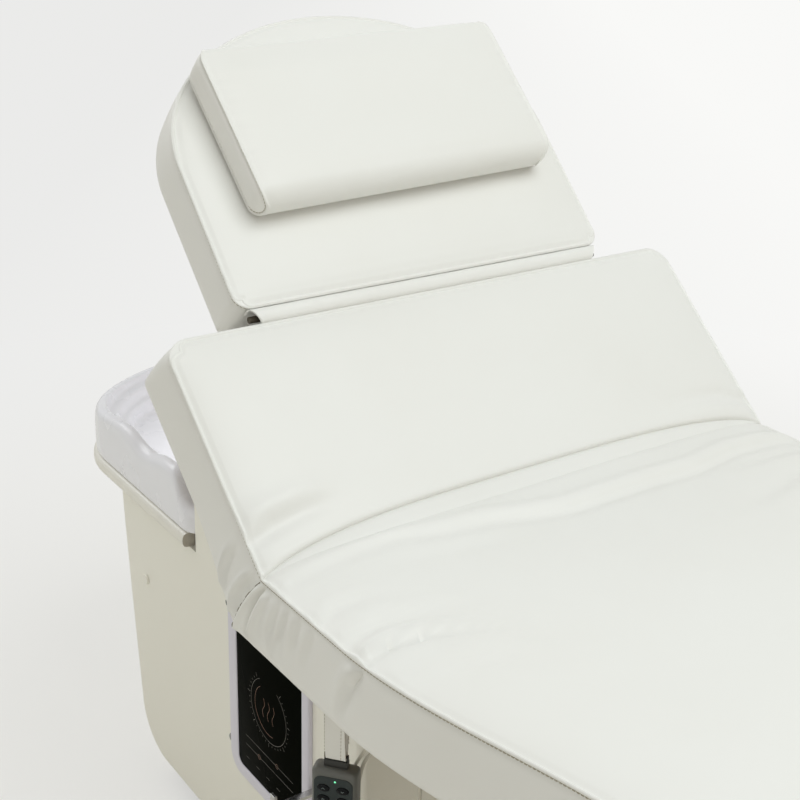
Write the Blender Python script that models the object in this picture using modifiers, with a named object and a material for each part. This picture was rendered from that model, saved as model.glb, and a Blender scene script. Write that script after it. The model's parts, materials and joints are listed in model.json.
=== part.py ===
"""Electric spa table with a tilting back, a jointed head section, a raised leg section and a wash basin.

Metres, +Z up. The head end points to +Y and the floor is at Z zero. The origin lies on the floor below
the middle of the table's box. The crease between back and seat is the reference line that lengths are
measured from.
"""

import math

import bmesh
import bpy
from mathutils import Matrix, Vector

for old in list(bpy.data.objects):
    bpy.data.objects.remove(old, do_unlink=True)

# Whole table
gap = 0.0003
head_reach = 0.86
foot_reach = 1.14
seat_height = 0.64
table_width = 0.75
crease_y = (foot_reach - head_reach) / 2

# Cushions and boards
seat_depth = 0.0926
back_depth = 0.085
head_depth = 0.066
board_thickness = 0.012
head_board_thickness = 0.010
board_inset = 0.015
crown_height = 0.008
side_tuck = 0.006
section_gap = 0.020

# Back section
back_angle = math.radians(41.33)
back_open_angle = math.radians(60.0)
back_length = 0.285
pivot_drop = 0.112
pivot_radius = 0.010
mitre = back_open_angle / 2
pivot_y = crease_y + pivot_drop * math.tan(back_angle / 2)
pivot_z = seat_height - pivot_drop

# Head section
head_angle = math.radians(45.10)
head_width = 0.55
head_straight = 0.19
head_arc = 0.20
head_rod_radius = 0.004
head_rod_drop = 0.008
head_rise = 0.0097
eye_wall = 0.0022
turning_gap = 0.0003

# Pillow
pillow_width = 0.440
pillow_length = 0.213
pillow_start = 0.109
pillow_depth = 0.044
pillow_corner = 0.022

# Seat and leg plan
waist_start = 0.14
waist_length = 0.42
waist_draw = 0.067
foot_half_width = 0.33
foot_corner = 0.07
leg_hinge_reach = 0.60
leg_hinge_y = crease_y - leg_hinge_reach
leg_rod_drop = 0.008

# Steel frame
rail_width = 0.025
rail_height = 0.022
rail_wall = 0.002
rail_x = 0.215
rail_end_reach = 0.84
post_size = 0.040
floor_plate = 0.012
cabinet_floor = 0.037
bracket_thickness = 0.006
bracket_x = 0.2335
bracket_eye = 0.016
bracket_depth = 0.022
crossbar_size = 0.020
crossbar_start = 0.090

# Actuators
pin_radius = 0.005
loose_hole = 0.0115
rod_radius = 0.010
rod_eye = 0.019
rod_eye_thickness = 0.014
base_eye = 0.012
housing_size = 0.044
housing_start = 0.020
fork_plate = 0.006
fork_half_gap = 0.0105
back_base_reach = 0.27
back_base_y = crease_y - back_base_reach
leg_base_reach = 0.33
leg_base_y = crease_y - leg_base_reach
base_pin_drop = 0.23
base_pin_z = seat_height - base_pin_drop
back_lever_s = 0.015
back_lever_drop = 0.058
leg_lever_reach = 0.66
leg_lever_y = crease_y - leg_lever_reach
leg_lever_drop = 0.18
leg_lever_z = seat_height - leg_lever_drop
back_housing_end = 0.26
back_bore_start = 0.145
back_rod_start = 0.200
leg_housing_end = 0.235
leg_bore_start = 0.105
leg_rod_start = 0.125

# Cabinet
cabinet_half_width = 0.26
cabinet_wall = 0.010
cabinet_foot_reach = 0.015
cabinet_foot_y = crease_y - cabinet_foot_reach
cabinet_top_drop = 0.11
cabinet_top = seat_height - cabinet_top_drop
trim_bottom_drop = 0.185
trim_bottom = seat_height - trim_bottom_drop
cabinet_head_reach = 0.630
cabinet_head_y = crease_y + cabinet_head_reach
cabinet_lean = 0.034
cabinet_low_corner = 0.100
cabinet_head_corner = 0.012
cabinet_foot_corner = 0.012
notch_half_width = 0.045
notch_bottom_drop = 0.255
notch_bottom = seat_height - notch_bottom_drop

# Basin and trim
basin_half_width = 0.262
basin_foot_reach = 0.385
basin_foot_y = crease_y + basin_foot_reach
cabinet_step_y = basin_foot_y - gap
basin_straight_reach = 0.668
basin_straight_y = crease_y + basin_straight_reach
basin_arc = 0.182
basin_bottom_drop = 0.1637
basin_bottom = seat_height - basin_bottom_drop
trim_height = 0.021
trim_proud = 0.010
trim_depth = 0.020
trim_start_reach = 0.403
trim_start_y = crease_y + trim_start_reach
rim_high_drop = 0.084
rim_high = seat_height - rim_high_drop
rim_head_drop = 0.1
rim_head = seat_height - rim_head_drop
rim_low_drop = 0.102
rim_low = seat_height - rim_low_drop
rim_foot_drop = 0.084
rim_foot = seat_height - rim_foot_drop
rim_notch_drop = 0.13
rim_notch = seat_height - rim_notch_drop
first_ledge_drop = 0.112
first_ledge = seat_height - first_ledge_drop
first_ledge_inset = 0.016
second_ledge_drop = 0.128
second_ledge = seat_height - second_ledge_drop
second_ledge_inset = 0.034
shelf_level_drop = 0.152
shelf_level = seat_height - shelf_level_drop
shelf_inset = 0.046
bowl_floor_drop = 0.278
bowl_floor = seat_height - bowl_floor_drop
bowl_wall = 0.008
bowl_half_width = 0.205
bowl_foot_reach = 0.440
bowl_foot_y = crease_y + bowl_foot_reach
bowl_head_reach = 0.583
bowl_head_y = crease_y + bowl_head_reach
bowl_corner = 0.040
drain_radius = 0.020
strainer_radius = 0.032
strainer_thickness = 0.003
pipe_radius = 0.020
pipe_wall = 0.002

# Touch panel
panel_start_reach = 0.0885
panel_start_y = crease_y + panel_start_reach
panel_end_reach = 0.2885
panel_end_y = crease_y + panel_end_reach
panel_bottom_drop = 0.462
panel_bottom = seat_height - panel_bottom_drop
panel_top_drop = 0.165
panel_top = seat_height - panel_top_drop
panel_corner = 0.030
bezel_thickness = 0.006
glass_start_reach = 0.1055
glass_start_y = crease_y + glass_start_reach
glass_end_reach = 0.2665
glass_end_y = crease_y + glass_end_reach
glass_bottom_drop = 0.443
glass_bottom = seat_height - glass_bottom_drop
glass_top_drop = 0.185
glass_top = seat_height - glass_top_drop
glass_corner = 0.012
glass_thickness = 0.005
screw_radius = 0.007
screw_height = 0.005
screw_reach = 0.2885
screw_y = crease_y + screw_reach
screw_low_drop = 0.42
screw_low_z = seat_height - screw_low_drop
screw_high_drop = 0.212
screw_high_z = seat_height - screw_high_drop
wall_cap_radius = 0.008
wall_cap_height = 0.003
wall_cap_reach = 0.548
wall_cap_y = crease_y + wall_cap_reach
wall_cap_drop = 0.306
wall_cap_z = seat_height - wall_cap_drop

# Handset group
hanger_angle = math.radians(-50.0)
hanger_side_reach = 0.335
hanger_x = -hanger_side_reach
hanger_reach = 0.081
hanger_y = crease_y - hanger_reach
strap_width = 0.022
strap_thickness = 0.0025
strap_half_spread = 0.013
strap_loop_drop = 0.1843
strap_loop_z = seat_height - strap_loop_drop
clip_width = 0.029
clip_wall = 0.003
clip_bar = 0.004
handset_width = 0.050
handset_depth = 0.022
handset_length = 0.155
handset_corner = 0.006
relief_radius = 0.005
relief_length = 0.018
button_width = 0.011
button_height = 0.007
button_proud = 0.0015
button_clearance = 0.0004
button_travel = 0.001
button_pocket = 0.0035
button_column = 0.021
button_row = 0.014
button_first_drop = 0.024

# Lead, gland and clip
lead_radius = 0.002
gland_radius = 0.007
gland_length = 0.014
lead_clip_lip = 0.003

# Hook
hook_reach = 0.0815
hook_y = crease_y + hook_reach
hook_drop = 0.369
hook_z = seat_height - hook_drop
hook_length = 0.060
hook_thickness = 0.004
hook_width = 0.010
hook_rise = 0.018

# Equipment in the cabinet
tank_size = (0.30, 0.16, 0.22)
tank_reach = 0.25
tank_y = crease_y + tank_reach
control_size = (0.14, 0.07, 0.09)
control_reach = 0.11
control_y = crease_y + control_reach
pump_radius = 0.035
pump_length = 0.11
heater_radius = 0.030
heater_length = 0.13
equipment_reach = 0.40
equipment_y = crease_y + equipment_reach
equipment_x = 0.13
inlet_size = (0.048, 0.014, 0.030)
inlet_x = 0.16
inlet_z = 0.12

# Feet and foot pedestal
tail_post_reach = 0.76
tail_post_y = crease_y - tail_post_reach
level_foot_radius = 0.025
level_foot_height = cabinet_floor - gap - floor_plate - gap
head_foot_reach = 0.42
head_foot_y = crease_y + head_foot_reach
tail_foot_offset = 0.04
tail_foot_y = tail_post_y - tail_foot_offset
level_foot_x = 0.205
head_plate_half_width = 0.254
head_plate_start_reach = 0.009
head_plate_start = crease_y - head_plate_start_reach
head_plate_end_reach = 0.455
head_plate_end = crease_y + head_plate_end_reach
tail_plate_half_width = 0.240
tail_plate_start_offset = 0.105
tail_plate_start = tail_post_y - tail_plate_start_offset
tail_plate_end_offset = 0.185
tail_plate_end = tail_post_y + tail_plate_end_offset
cover_half_width = 0.246
cover_start_offset = 0.111
cover_start_y = tail_post_y - cover_start_offset
cover_end_offset = 0.191
cover_end_y = tail_post_y + cover_end_offset
cover_wall = 0.008
cover_top_drop = 0.14
cover_top = seat_height - cover_top_drop
cover_corner = 0.050

overrun = 0.010

# Derived levels
seat_bottom = seat_height - seat_depth
board_top = seat_bottom - gap
board_bottom = board_top - board_thickness
rail_top = board_bottom - gap
rail_bottom = rail_top - rail_height
plate_top = cabinet_floor - gap
plate_bottom = plate_top - floor_plate

table = bpy.data.collections.new("electric_spa_table")
tools = bpy.data.collections.new("cutters")
bpy.context.scene.collection.children.link(table)
bpy.context.scene.collection.children.link(tools)


def make_material(name, colour, roughness, metallic):
    material = bpy.data.materials.new(name)
    material.use_nodes = True
    shader = material.node_tree.nodes["Principled BSDF"]
    shader.inputs["Base Color"].default_value = (*colour, 1.0)
    shader.inputs["Roughness"].default_value = roughness
    shader.inputs["Metallic"].default_value = metallic
    material.diffuse_color = (*colour, 1.0)
    return material


LEATHER = (0.80, 0.79, 0.73)
SHELL = (0.62, 0.60, 0.53)
STEEL = (0.42, 0.42, 0.43)
DARK = (0.05, 0.05, 0.055)


def finish(piece, name, colour, roughness=0.5, metallic=0.0, parent=None):
    """Name a piece, give it its own material and hang it on its parent."""
    piece.name = name
    piece.data.name = name
    piece.data.materials.clear()
    piece.data.materials.append(make_material(name, colour, roughness, metallic))
    for owner in list(piece.users_collection):
        owner.objects.unlink(piece)
    table.objects.link(piece)
    piece.parent = parent
    return piece


def pivot_frame(name, place, turn=None, parent=None):
    empty = bpy.data.objects.new(name, None)
    table.objects.link(empty)
    empty.location = place
    if turn is not None:
        empty.rotation_euler = turn
    empty.parent = parent
    return empty


def loose(mesh_data):
    piece = bpy.data.objects.new(mesh_data.name, mesh_data)
    tools.objects.link(piece)
    return piece


def from_bmesh(bm, name="piece"):
    bmesh.ops.recalc_face_normals(bm, faces=bm.faces[:])
    if all(edge.is_manifold for edge in bm.edges) and bm.calc_volume(signed=True) < 0:
        bmesh.ops.reverse_faces(bm, faces=bm.faces[:])
    data = bpy.data.meshes.new(name)
    bm.to_mesh(data)
    bm.free()
    return loose(data)


def smooth(piece, angle=math.radians(35.0)):
    piece.data.shade_smooth()
    piece.data.set_sharp_from_angle(angle=angle)
    return piece


def block(size, centre, round_off=0.0, segments=2):
    """A box, with all its edges rounded when a radius is given."""
    bm = bmesh.new()
    bmesh.ops.create_cube(bm, size=1.0)
    bmesh.ops.scale(bm, vec=size, verts=bm.verts)
    if round_off:
        bmesh.ops.bevel(
            bm, geom=bm.edges[:], offset=round_off, segments=segments, affect="EDGES", profile=0.5
        )
    bmesh.ops.translate(bm, vec=centre, verts=bm.verts)
    return from_bmesh(bm)


def rod(radius, length, centre, axis="Z", segments=16):
    """A round bar about its centre, along X, Y or Z."""
    bm = bmesh.new()
    bmesh.ops.create_cone(
        bm, cap_ends=True, segments=segments, radius1=radius, radius2=radius, depth=length
    )
    turn = {
        "X": Matrix.Rotation(math.pi / 2, 3, "Y"),
        "Y": Matrix.Rotation(math.pi / 2, 3, "X"),
        "Z": Matrix.Identity(3),
    }[axis]
    bmesh.ops.rotate(bm, cent=(0, 0, 0), matrix=turn, verts=bm.verts)
    bmesh.ops.translate(bm, vec=centre, verts=bm.verts)
    return from_bmesh(bm)


def slab(points, thickness, across="X", middle=0.0):
    """A flat outline, filled and given a thickness.

    Points are (Y, Z) across X, (X, Z) across Y, (X, Y) across Z.
    """
    curve = bpy.data.curves.new("outline", "CURVE")
    curve.dimensions = "2D"
    curve.fill_mode = "BOTH"
    curve.extrude = thickness / 2
    curve.render_resolution_u = 0
    line = curve.splines.new("POLY")
    line.points.add(len(points) - 1)
    for point, (u, v) in zip(line.points, points):
        point.co = (u, v, 0, 1)
    line.use_cyclic_u = True
    holder = bpy.data.objects.new("outline", curve)
    tools.objects.link(holder)
    bpy.context.view_layer.update()
    data = bpy.data.meshes.new_from_object(holder.evaluated_get(bpy.context.evaluated_depsgraph_get()))
    bpy.data.objects.remove(holder, do_unlink=True)
    bm = bmesh.new()
    bm.from_mesh(data)
    bpy.data.meshes.remove(data)
    bmesh.ops.remove_doubles(bm, verts=bm.verts[:], dist=gap / 10)
    for vert in bm.verts:
        u, v, w = vert.co
        vert.co = {"X": (w + middle, u, v), "Y": (u, w + middle, v), "Z": (u, v, w + middle)}[across]
    return from_bmesh(bm)


def combine(base, others, operation="UNION"):
    """Join or cut solids exactly and leave one mesh."""
    for other in others:
        modifier = base.modifiers.new("join", "BOOLEAN")
        modifier.operation = operation
        modifier.solver = "EXACT"
        modifier.object = other
        bpy.context.view_layer.update()
        depsgraph = bpy.context.evaluated_depsgraph_get()
        data = bpy.data.meshes.new_from_object(base.evaluated_get(depsgraph))
        base.modifiers.clear()
        base.data = data
        bpy.data.objects.remove(other, do_unlink=True)
    bm = bmesh.new()
    bm.from_mesh(base.data)
    bmesh.ops.remove_doubles(bm, verts=bm.verts[:], dist=gap / 30)
    bmesh.ops.dissolve_degenerate(bm, dist=gap / 30, edges=bm.edges[:])
    bm.to_mesh(base.data)
    bm.free()
    return base


def cut(base, *others):
    return combine(base, others, "DIFFERENCE")


def join(base, *others):
    return combine(base, others, "UNION")


def arc_points(centre, radius, start, end, steps):
    """Points on a circle, from one angle to another, both included."""
    return [
        (
            centre[0] + radius * math.cos(start + (end - start) * i / steps),
            centre[1] + radius * math.sin(start + (end - start) * i / steps),
        )
        for i in range(steps + 1)
    ]


def rounded_outline(low, high, radius, steps=4):
    """A rectangle from corner to corner with round corners."""
    points = []
    corners = (
        (high[0] - radius, high[1] - radius, 0.0),
        (low[0] + radius, high[1] - radius, 0.5),
        (low[0] + radius, low[1] + radius, 1.0),
        (high[0] - radius, low[1] + radius, 1.5),
    )
    for u, v, half_turns in corners:
        start = half_turns * math.pi
        points += arc_points((u, v), radius, start, start + math.pi / 2, steps)
    return points


def square_tube(width, height, wall, start_y, end_y, x, middle_z):
    """A rectangular tube along Y, open at both ends."""
    bm = bmesh.new()
    bmesh.ops.create_cube(bm, size=1.0)
    ends = [face for face in bm.faces if abs(face.normal.y) > 0.5]
    bmesh.ops.delete(bm, geom=ends, context="FACES_ONLY")
    bmesh.ops.scale(bm, vec=(width, end_y - start_y, height), verts=bm.verts)
    bmesh.ops.translate(bm, vec=(x, (start_y + end_y) / 2, middle_z), verts=bm.verts)
    tube = from_bmesh(bm)
    thick(tube, wall)
    return tube


def thick(piece, wall):
    """Give an open surface its wall, inwards, and keep the result."""
    modifier = piece.modifiers.new("wall", "SOLIDIFY")
    modifier.thickness = wall
    modifier.offset = -1.0
    modifier.use_even_offset = True
    bpy.context.view_layer.update()
    piece.data = bpy.data.meshes.new_from_object(piece.evaluated_get(bpy.context.evaluated_depsgraph_get()))
    piece.modifiers.clear()
    return piece


def cushion(plan, across, along, bottom, top, ends, crown=crown_height, tuck=side_tuck, edge_share=0.10):
    """A stuffed block: a coarse cage with close loops at its edges, a crown and drawn-in sides.

    plan(u, v) gives a point of the outline's filled plan for u and v from -1 to 1. ends(height) gives how
    far each end moves along the length at that height.
    """
    bm = bmesh.new()
    bmesh.ops.create_grid(bm, x_segments=across, y_segments=along, size=1.0)
    top_faces = bm.faces[:]
    extruded = bmesh.ops.extrude_face_region(bm, geom=top_faces, use_keep_orig=True)
    raised = {item for item in extruded["geom"] if isinstance(item, bmesh.types.BMVert)}
    for vert in raised:
        vert.co.z = 1.0
    sides = [edge for edge in bm.edges if abs(edge.verts[0].co.z - edge.verts[1].co.z) > 0.5]
    bmesh.ops.subdivide_edges(bm, edges=sides, cuts=3, use_grid_fill=True)
    level_shares = (0.0, 0.12, 0.5, 0.88, 1.0)
    spread = 1.0 - edge_share

    def eased(share, cells):
        """Move the loops next to an edge close to it and leave the others evenly spaced."""
        place = round((share + 1.0) / 2.0 * cells)
        if place in (0, cells):
            return share
        return spread * (2.0 * (place - 1) / (cells - 2) - 1.0)

    for vert in bm.verts:
        u = eased(vert.co.x, across)
        v = eased(vert.co.y, along)
        level = round(vert.co.z * (len(level_shares) - 1))
        w = level_shares[level]
        height = bottom + (top - bottom) * w
        rim = max(abs(u), abs(v)) == 1.0
        x, y = plan(u, v)
        shift = ends(height)
        y += shift[0] * (1.0 - v) / 2 + shift[1] * (1.0 + v) / 2
        if rim and level == 2:
            x -= tuck * u
            y -= tuck * v
        if not rim and level == 4:
            height += crown * (1.0 - u**4) * (1.0 - v**4)
        vert.co = (x, y, height)
    piece = from_bmesh(bm)
    modifier = piece.modifiers.new("soft", "SUBSURF")
    modifier.levels = 1
    modifier.render_levels = 1
    piece.data.shade_smooth()
    return piece


def ring_shell(rings, wall):
    """A wall lofted through level rings of equally many points, open above and below."""
    bm = bmesh.new()
    bmesh.ops.create_circle(bm, cap_ends=False, segments=len(rings[0]), radius=1.0)
    current = sorted(bm.verts, key=lambda vert: math.atan2(vert.co.y, vert.co.x))
    for vert, point in zip(current, rings[0]):
        vert.co = point
    edges = bm.edges[:]
    for ring in rings[1:]:
        made = bmesh.ops.extrude_edge_only(bm, edges=edges)["geom"]
        fresh = {item for item in made if isinstance(item, bmesh.types.BMVert)}
        edges = [item for item in made if isinstance(item, bmesh.types.BMEdge) and set(item.verts) <= fresh]
        following = []
        for vert in current:
            above = next(edge.other_vert(vert) for edge in vert.link_edges if edge.other_vert(vert) in fresh)
            following.append(above)
        for vert, point in zip(following, ring):
            vert.co = point
        current = following
    return thick(from_bmesh(bm), wall)


def level_ring(half_width, foot_y, head_y, foot_radius, head_radius, z, steps=4):
    """A rectangle with unlike corner radii at its two ends, counter-clockwise from the -X side."""
    corners = (
        (-half_width + foot_radius, foot_y + foot_radius, foot_radius, 1.0),
        (half_width - foot_radius, foot_y + foot_radius, foot_radius, 1.5),
        (half_width - head_radius, head_y - head_radius, head_radius, 0.0),
        (-half_width + head_radius, head_y - head_radius, head_radius, 0.5),
    )
    ring = []
    for x, y, radius, half_turns in corners:
        start = half_turns * math.pi
        ring += [(px, py, z) for px, py in arc_points((x, y), radius, start, start + math.pi / 2, steps)]
    return ring


def round_corner(x, y, half_x, half_y, radius):
    """Pull a point of a rectangle's plan into its round corner."""
    deep_x = abs(x) - (half_x - radius)
    deep_y = abs(y) - (half_y - radius)
    if deep_x <= 0 or deep_y <= 0:
        return x, y
    scale = max(deep_x, deep_y) / math.hypot(deep_x, deep_y)
    return (
        math.copysign(half_x - radius + deep_x * scale, x),
        math.copysign(half_y - radius + deep_y * scale, y),
    )


def no_shift(height):
    return 0.0, 0.0


# Seat
seat_foot_y = leg_hinge_y + section_gap / 2


def seat_half_width(y):
    share = min(max((crease_y - waist_start - y) / waist_length, 0.0), 1.0)
    return table_width / 2 - waist_draw * (1.0 - math.cos(math.pi * share)) / 2


def seat_plan(u, v):
    y = seat_foot_y + (pivot_y - seat_foot_y) * (v + 1.0) / 2
    return u * seat_half_width(y), y


def seat_ends(height):
    return 0.0, -(height - pivot_z) * math.tan(mitre)


finish(cushion(seat_plan, 5, 6, seat_bottom, seat_height, seat_ends), "seat_cushion", LEATHER)

seat_board_head = pivot_y - bracket_eye - section_gap / 10
seat_board_steps = 8
seat_edge = [
    seat_foot_y + board_inset + (seat_board_head - seat_foot_y - board_inset) * i / seat_board_steps
    for i in range(seat_board_steps + 1)
]
seat_outline = [(seat_half_width(y) - board_inset, y) for y in seat_edge]
seat_outline += [(-x, y) for x, y in reversed(seat_outline)]
finish(
    slab(seat_outline, board_thickness, "Z", board_bottom + board_thickness / 2),
    "seat_board",
    (0.42, 0.30, 0.18),
    0.7,
)

# Seat rails, hinge ears of the leg section, and cross members
rail_head = pivot_y - pivot_radius - gap
rail_foot = crease_y - rail_end_reach
leg_rod_z = seat_height - leg_rod_drop
eye_radius = head_rod_radius + turning_gap + eye_wall
eye_hole = head_rod_radius + turning_gap
ear_near = eye_radius - eye_wall
ear_far = section_gap / 2 - gap
for side, word in ((-1, "left"), (1, "right")):
    rail_middle = (rail_top + rail_bottom) / 2
    rail = square_tube(rail_width, rail_height, rail_wall, rail_foot, rail_head, side * rail_x, rail_middle)
    ear_bottom = rail_top - rail_wall / 2
    ear = block(
        (bracket_thickness, ear_far - ear_near + eye_wall, leg_rod_z - ear_bottom),
        (side * rail_x, leg_hinge_y + (ear_near - eye_wall + ear_far) / 2, (leg_rod_z + ear_bottom) / 2),
    )
    eye = rod(eye_radius, bracket_thickness, (side * rail_x, leg_hinge_y, leg_rod_z), "X")
    hole = rod(eye_hole, bracket_thickness + overrun, (side * rail_x, leg_hinge_y, leg_rod_z), "X")
    finish(cut(join(rail, ear, eye), hole), "seat_rail_" + word, STEEL, 0.5, 0.6)

pivot_length = 2 * (bracket_x + bracket_thickness / 2 + turning_gap)
finish(
    smooth(rod(pivot_radius, pivot_length, (0, pivot_y, pivot_z), "X", 24)),
    "seat_cross_head",
    STEEL,
    0.4,
    0.8,
)

cross_span = 2 * (rail_x - rail_width / 2 - gap)
cross_y = (back_base_y + leg_base_y) / 2
cross_middle = block((cross_span, crossbar_size, rail_height), (0, cross_y, (rail_top + rail_bottom) / 2))
hanger_low = base_pin_z - base_eye
hanger_outline = [
    (leg_base_y - base_eye, hanger_low),
    (back_base_y + base_eye, hanger_low),
    (back_base_y + base_eye, base_pin_z + base_eye),
    (cross_y + crossbar_size / 3, rail_bottom + rail_height / 3),
    (cross_y - crossbar_size / 3, rail_bottom + rail_height / 3),
    (leg_base_y - base_eye, base_pin_z + base_eye),
]
fork_x = fork_half_gap + fork_plate / 2
fork_width = 2 * (fork_half_gap + fork_plate)
hangers = [slab(hanger_outline, fork_plate, "X", side * fork_x) for side in (-1, 1)]
base_pins = [rod(pin_radius, fork_width, (0, y, base_pin_z), "X") for y in (back_base_y, leg_base_y)]
finish(join(cross_middle, *hangers, *base_pins), "seat_cross_foot", STEEL, 0.5, 0.6)

# Columns with their floor plates, and levelling feet
post_top = rail_bottom - gap
post_x = rail_x - rail_width / 2 + post_size / 2 - bracket_thickness * 2
for name, half_width, start, end, post_y in (
    ("head_column", head_plate_half_width, head_plate_start, head_plate_end, crease_y + post_size / 2),
    ("foot_column", tail_plate_half_width, tail_plate_start, tail_plate_end, tail_post_y),
):
    plate = block(
        (2 * half_width, end - start, floor_plate), (0, (start + end) / 2, (plate_top + plate_bottom) / 2)
    )
    post_bottom = plate_bottom + floor_plate / 2
    posts = [
        block(
            (post_size, post_size, post_top - post_bottom),
            (side * post_x, post_y, (post_top + post_bottom) / 2),
        )
        for side in (-1, 1)
    ]
    finish(join(plate, *posts), name, STEEL, 0.5, 0.6)

level_foot_places = [(x, y) for y in (head_foot_y, tail_foot_y) for x in (-level_foot_x, level_foot_x)]
for index, (x, y) in enumerate(level_foot_places):
    foot = rod(level_foot_radius, level_foot_height, (x, y, level_foot_height / 2), "Z", 20)
    finish(smooth(foot), "level_foot_%d" % (index + 1), DARK, 0.8)

# Head cabinet: leaning head wall, round low corner, open above and below
low_centre_y = cabinet_head_y - cabinet_lean - cabinet_low_corner
low_centre_z = cabinet_floor + cabinet_low_corner
cabinet_steps = 6
cabinet_levels = []
for step in range(cabinet_steps):
    turn = math.pi / 2 * (step + 0.25) / cabinet_steps
    cabinet_levels.append(
        (
            low_centre_z - cabinet_low_corner * math.cos(turn),
            low_centre_y + cabinet_low_corner * math.sin(turn),
        )
    )
cabinet_levels[0] = (cabinet_floor, cabinet_levels[0][1])
wall_steps = 5
for step in range(wall_steps + 1):
    z = low_centre_z + (trim_bottom - low_centre_z) * step / wall_steps
    rise = (trim_bottom - z) / (trim_bottom - low_centre_z)
    cabinet_levels.append((z, cabinet_head_y - cabinet_lean * rise**1.2))
cabinet_levels.append((cabinet_top, cabinet_head_y))
cabinet = ring_shell(
    [
        level_ring(cabinet_half_width, cabinet_foot_y, head_y, cabinet_foot_corner, cabinet_head_corner, z)
        for z, head_y in cabinet_levels
    ],
    cabinet_wall,
)
step_low = trim_bottom - gap
step_box = block(
    (2 * cabinet_half_width + overrun, head_reach, cabinet_top),
    (0, cabinet_step_y + head_reach / 2, step_low + cabinet_top / 2),
)
notch_box = block(
    (2 * notch_half_width, cabinet_wall * 4, cabinet_top),
    (0, cabinet_foot_y + cabinet_wall / 2, notch_bottom + cabinet_top / 2),
)
rail_notches = [
    block(
        (rail_width + 4 * gap, cabinet_wall * 4, cabinet_top),
        (side * rail_x, cabinet_foot_y + cabinet_wall / 2, rail_bottom - gap + cabinet_top / 2),
    )
    for side in (-1, 1)
]
finish(smooth(cut(cabinet, step_box, notch_box, *rail_notches)), "cabinet_shell", SHELL, 0.45)

# Foot pedestal's cover
cover = ring_shell(
    [
        level_ring(cover_half_width, cover_start_y, cover_end_y, cover_corner, cover_corner, z)
        for z in (cabinet_floor, cover_top)
    ],
    cover_wall,
)
cover_notch = block(
    (2 * notch_half_width, cover_wall * 4, cover_top),
    (0, cover_end_y - cover_wall / 2, notch_bottom + cover_top / 2),
)
finish(smooth(cut(cover, cover_notch)), "foot_cover", SHELL, 0.45)


# Basin: flange with a stepped rim, two inner ledges, a shelf and a bowl
def basin_outline(inset, foot_y, steps=20):
    half = basin_half_width - inset
    arc = basin_arc - inset
    points = [(half, foot_y)]
    points += [
        (half * math.cos(math.pi * i / steps), basin_straight_y + arc * math.sin(math.pi * i / steps))
        for i in range(steps + 1)
    ]
    points.append((-half, foot_y))
    return points


def level_slab(points, low, high):
    return slab(points, high - low, "Z", (low + high) / 2)


basin = level_slab(basin_outline(0.0, basin_foot_y), basin_bottom, rim_high)
basin_low = bowl_floor - bowl_wall
bowl_outer = rounded_outline(
    (-bowl_half_width - bowl_wall, bowl_foot_y - bowl_wall),
    (bowl_half_width + bowl_wall, bowl_head_y + bowl_wall),
    bowl_corner + bowl_wall,
)
basin = join(basin, level_slab(bowl_outer, basin_low, basin_bottom + bowl_wall / 2))
notch_end_y = basin_foot_y + 0.24 * (bowl_foot_y + bowl_wall - basin_foot_y) / 0.35
drop_y = bowl_head_y
drop_step = bowl_wall
rim_line = [
    (basin_foot_y - overrun, rim_notch),
    (notch_end_y, rim_notch),
    (notch_end_y + drop_step / 2, rim_foot),
    (drop_y - 2 * drop_step, rim_low),
    (drop_y - drop_step, rim_low + (rim_high - rim_low) * 0.1),
    (drop_y, rim_low + (rim_high - rim_low) * 0.75),
    (drop_y + drop_step, rim_high),
    (drop_y + 3 * drop_step, rim_high),
    (basin_straight_y + basin_arc / 4, rim_head),
    (basin_straight_y + basin_arc + overrun, rim_head),
]
rim_cutter = rim_line + [(rim_line[-1][0], rim_high + overrun), (rim_line[0][0], rim_high + overrun)]
cavities = [
    slab(rim_cutter, table_width, "X"),
    level_slab(basin_outline(first_ledge_inset, basin_foot_y + bowl_wall), first_ledge, rim_high + overrun),
    level_slab(
        basin_outline(second_ledge_inset, basin_foot_y + 2 * bowl_wall), second_ledge, rim_high + overrun
    ),
    level_slab(basin_outline(shelf_inset, bowl_foot_y), shelf_level, rim_high + overrun),
    level_slab(
        rounded_outline((-bowl_half_width, bowl_foot_y), (bowl_half_width, bowl_head_y), bowl_corner),
        bowl_floor,
        rim_high + overrun,
    ),
    rod(
        drain_radius,
        bowl_wall + overrun,
        (0, (bowl_foot_y + bowl_head_y) / 2, bowl_floor - bowl_wall / 2),
        "Z",
        20,
    ),
]
finish(smooth(cut(basin, *cavities), math.radians(30.0)), "basin", (0.72, 0.72, 0.77), 0.15)

# Trim band under the basin
trim_outline = basin_outline(-trim_proud, basin_foot_y - overrun, 24)
trim = level_slab(trim_outline, trim_bottom, trim_bottom + trim_height)
bm = bmesh.new()
bm.from_mesh(trim.data)
outer_edges = [
    edge
    for edge in bm.edges
    if abs(edge.verts[0].co.z - edge.verts[1].co.z) < gap
    and len(edge.link_faces) == 2
    and edge.calc_face_angle() > math.pi / 4
]
bmesh.ops.bevel(bm, geom=outer_edges, offset=trim_height * 0.4, segments=3, affect="EDGES", profile=0.5)
bm.to_mesh(trim.data)
bm.free()
trim_hollow = level_slab(
    basin_outline(trim_depth - trim_proud, basin_foot_y - 2 * overrun, 24), trim_bottom - overrun, rim_high
)
trim_end = block(
    (2 * table_width, 2 * overrun + trim_start_y - basin_foot_y, trim_height * 3),
    (0, (trim_start_y + basin_foot_y - 2 * overrun) / 2, trim_bottom),
)
finish(smooth(cut(trim, trim_hollow, trim_end)), "basin_trim", SHELL, 0.35)

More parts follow.
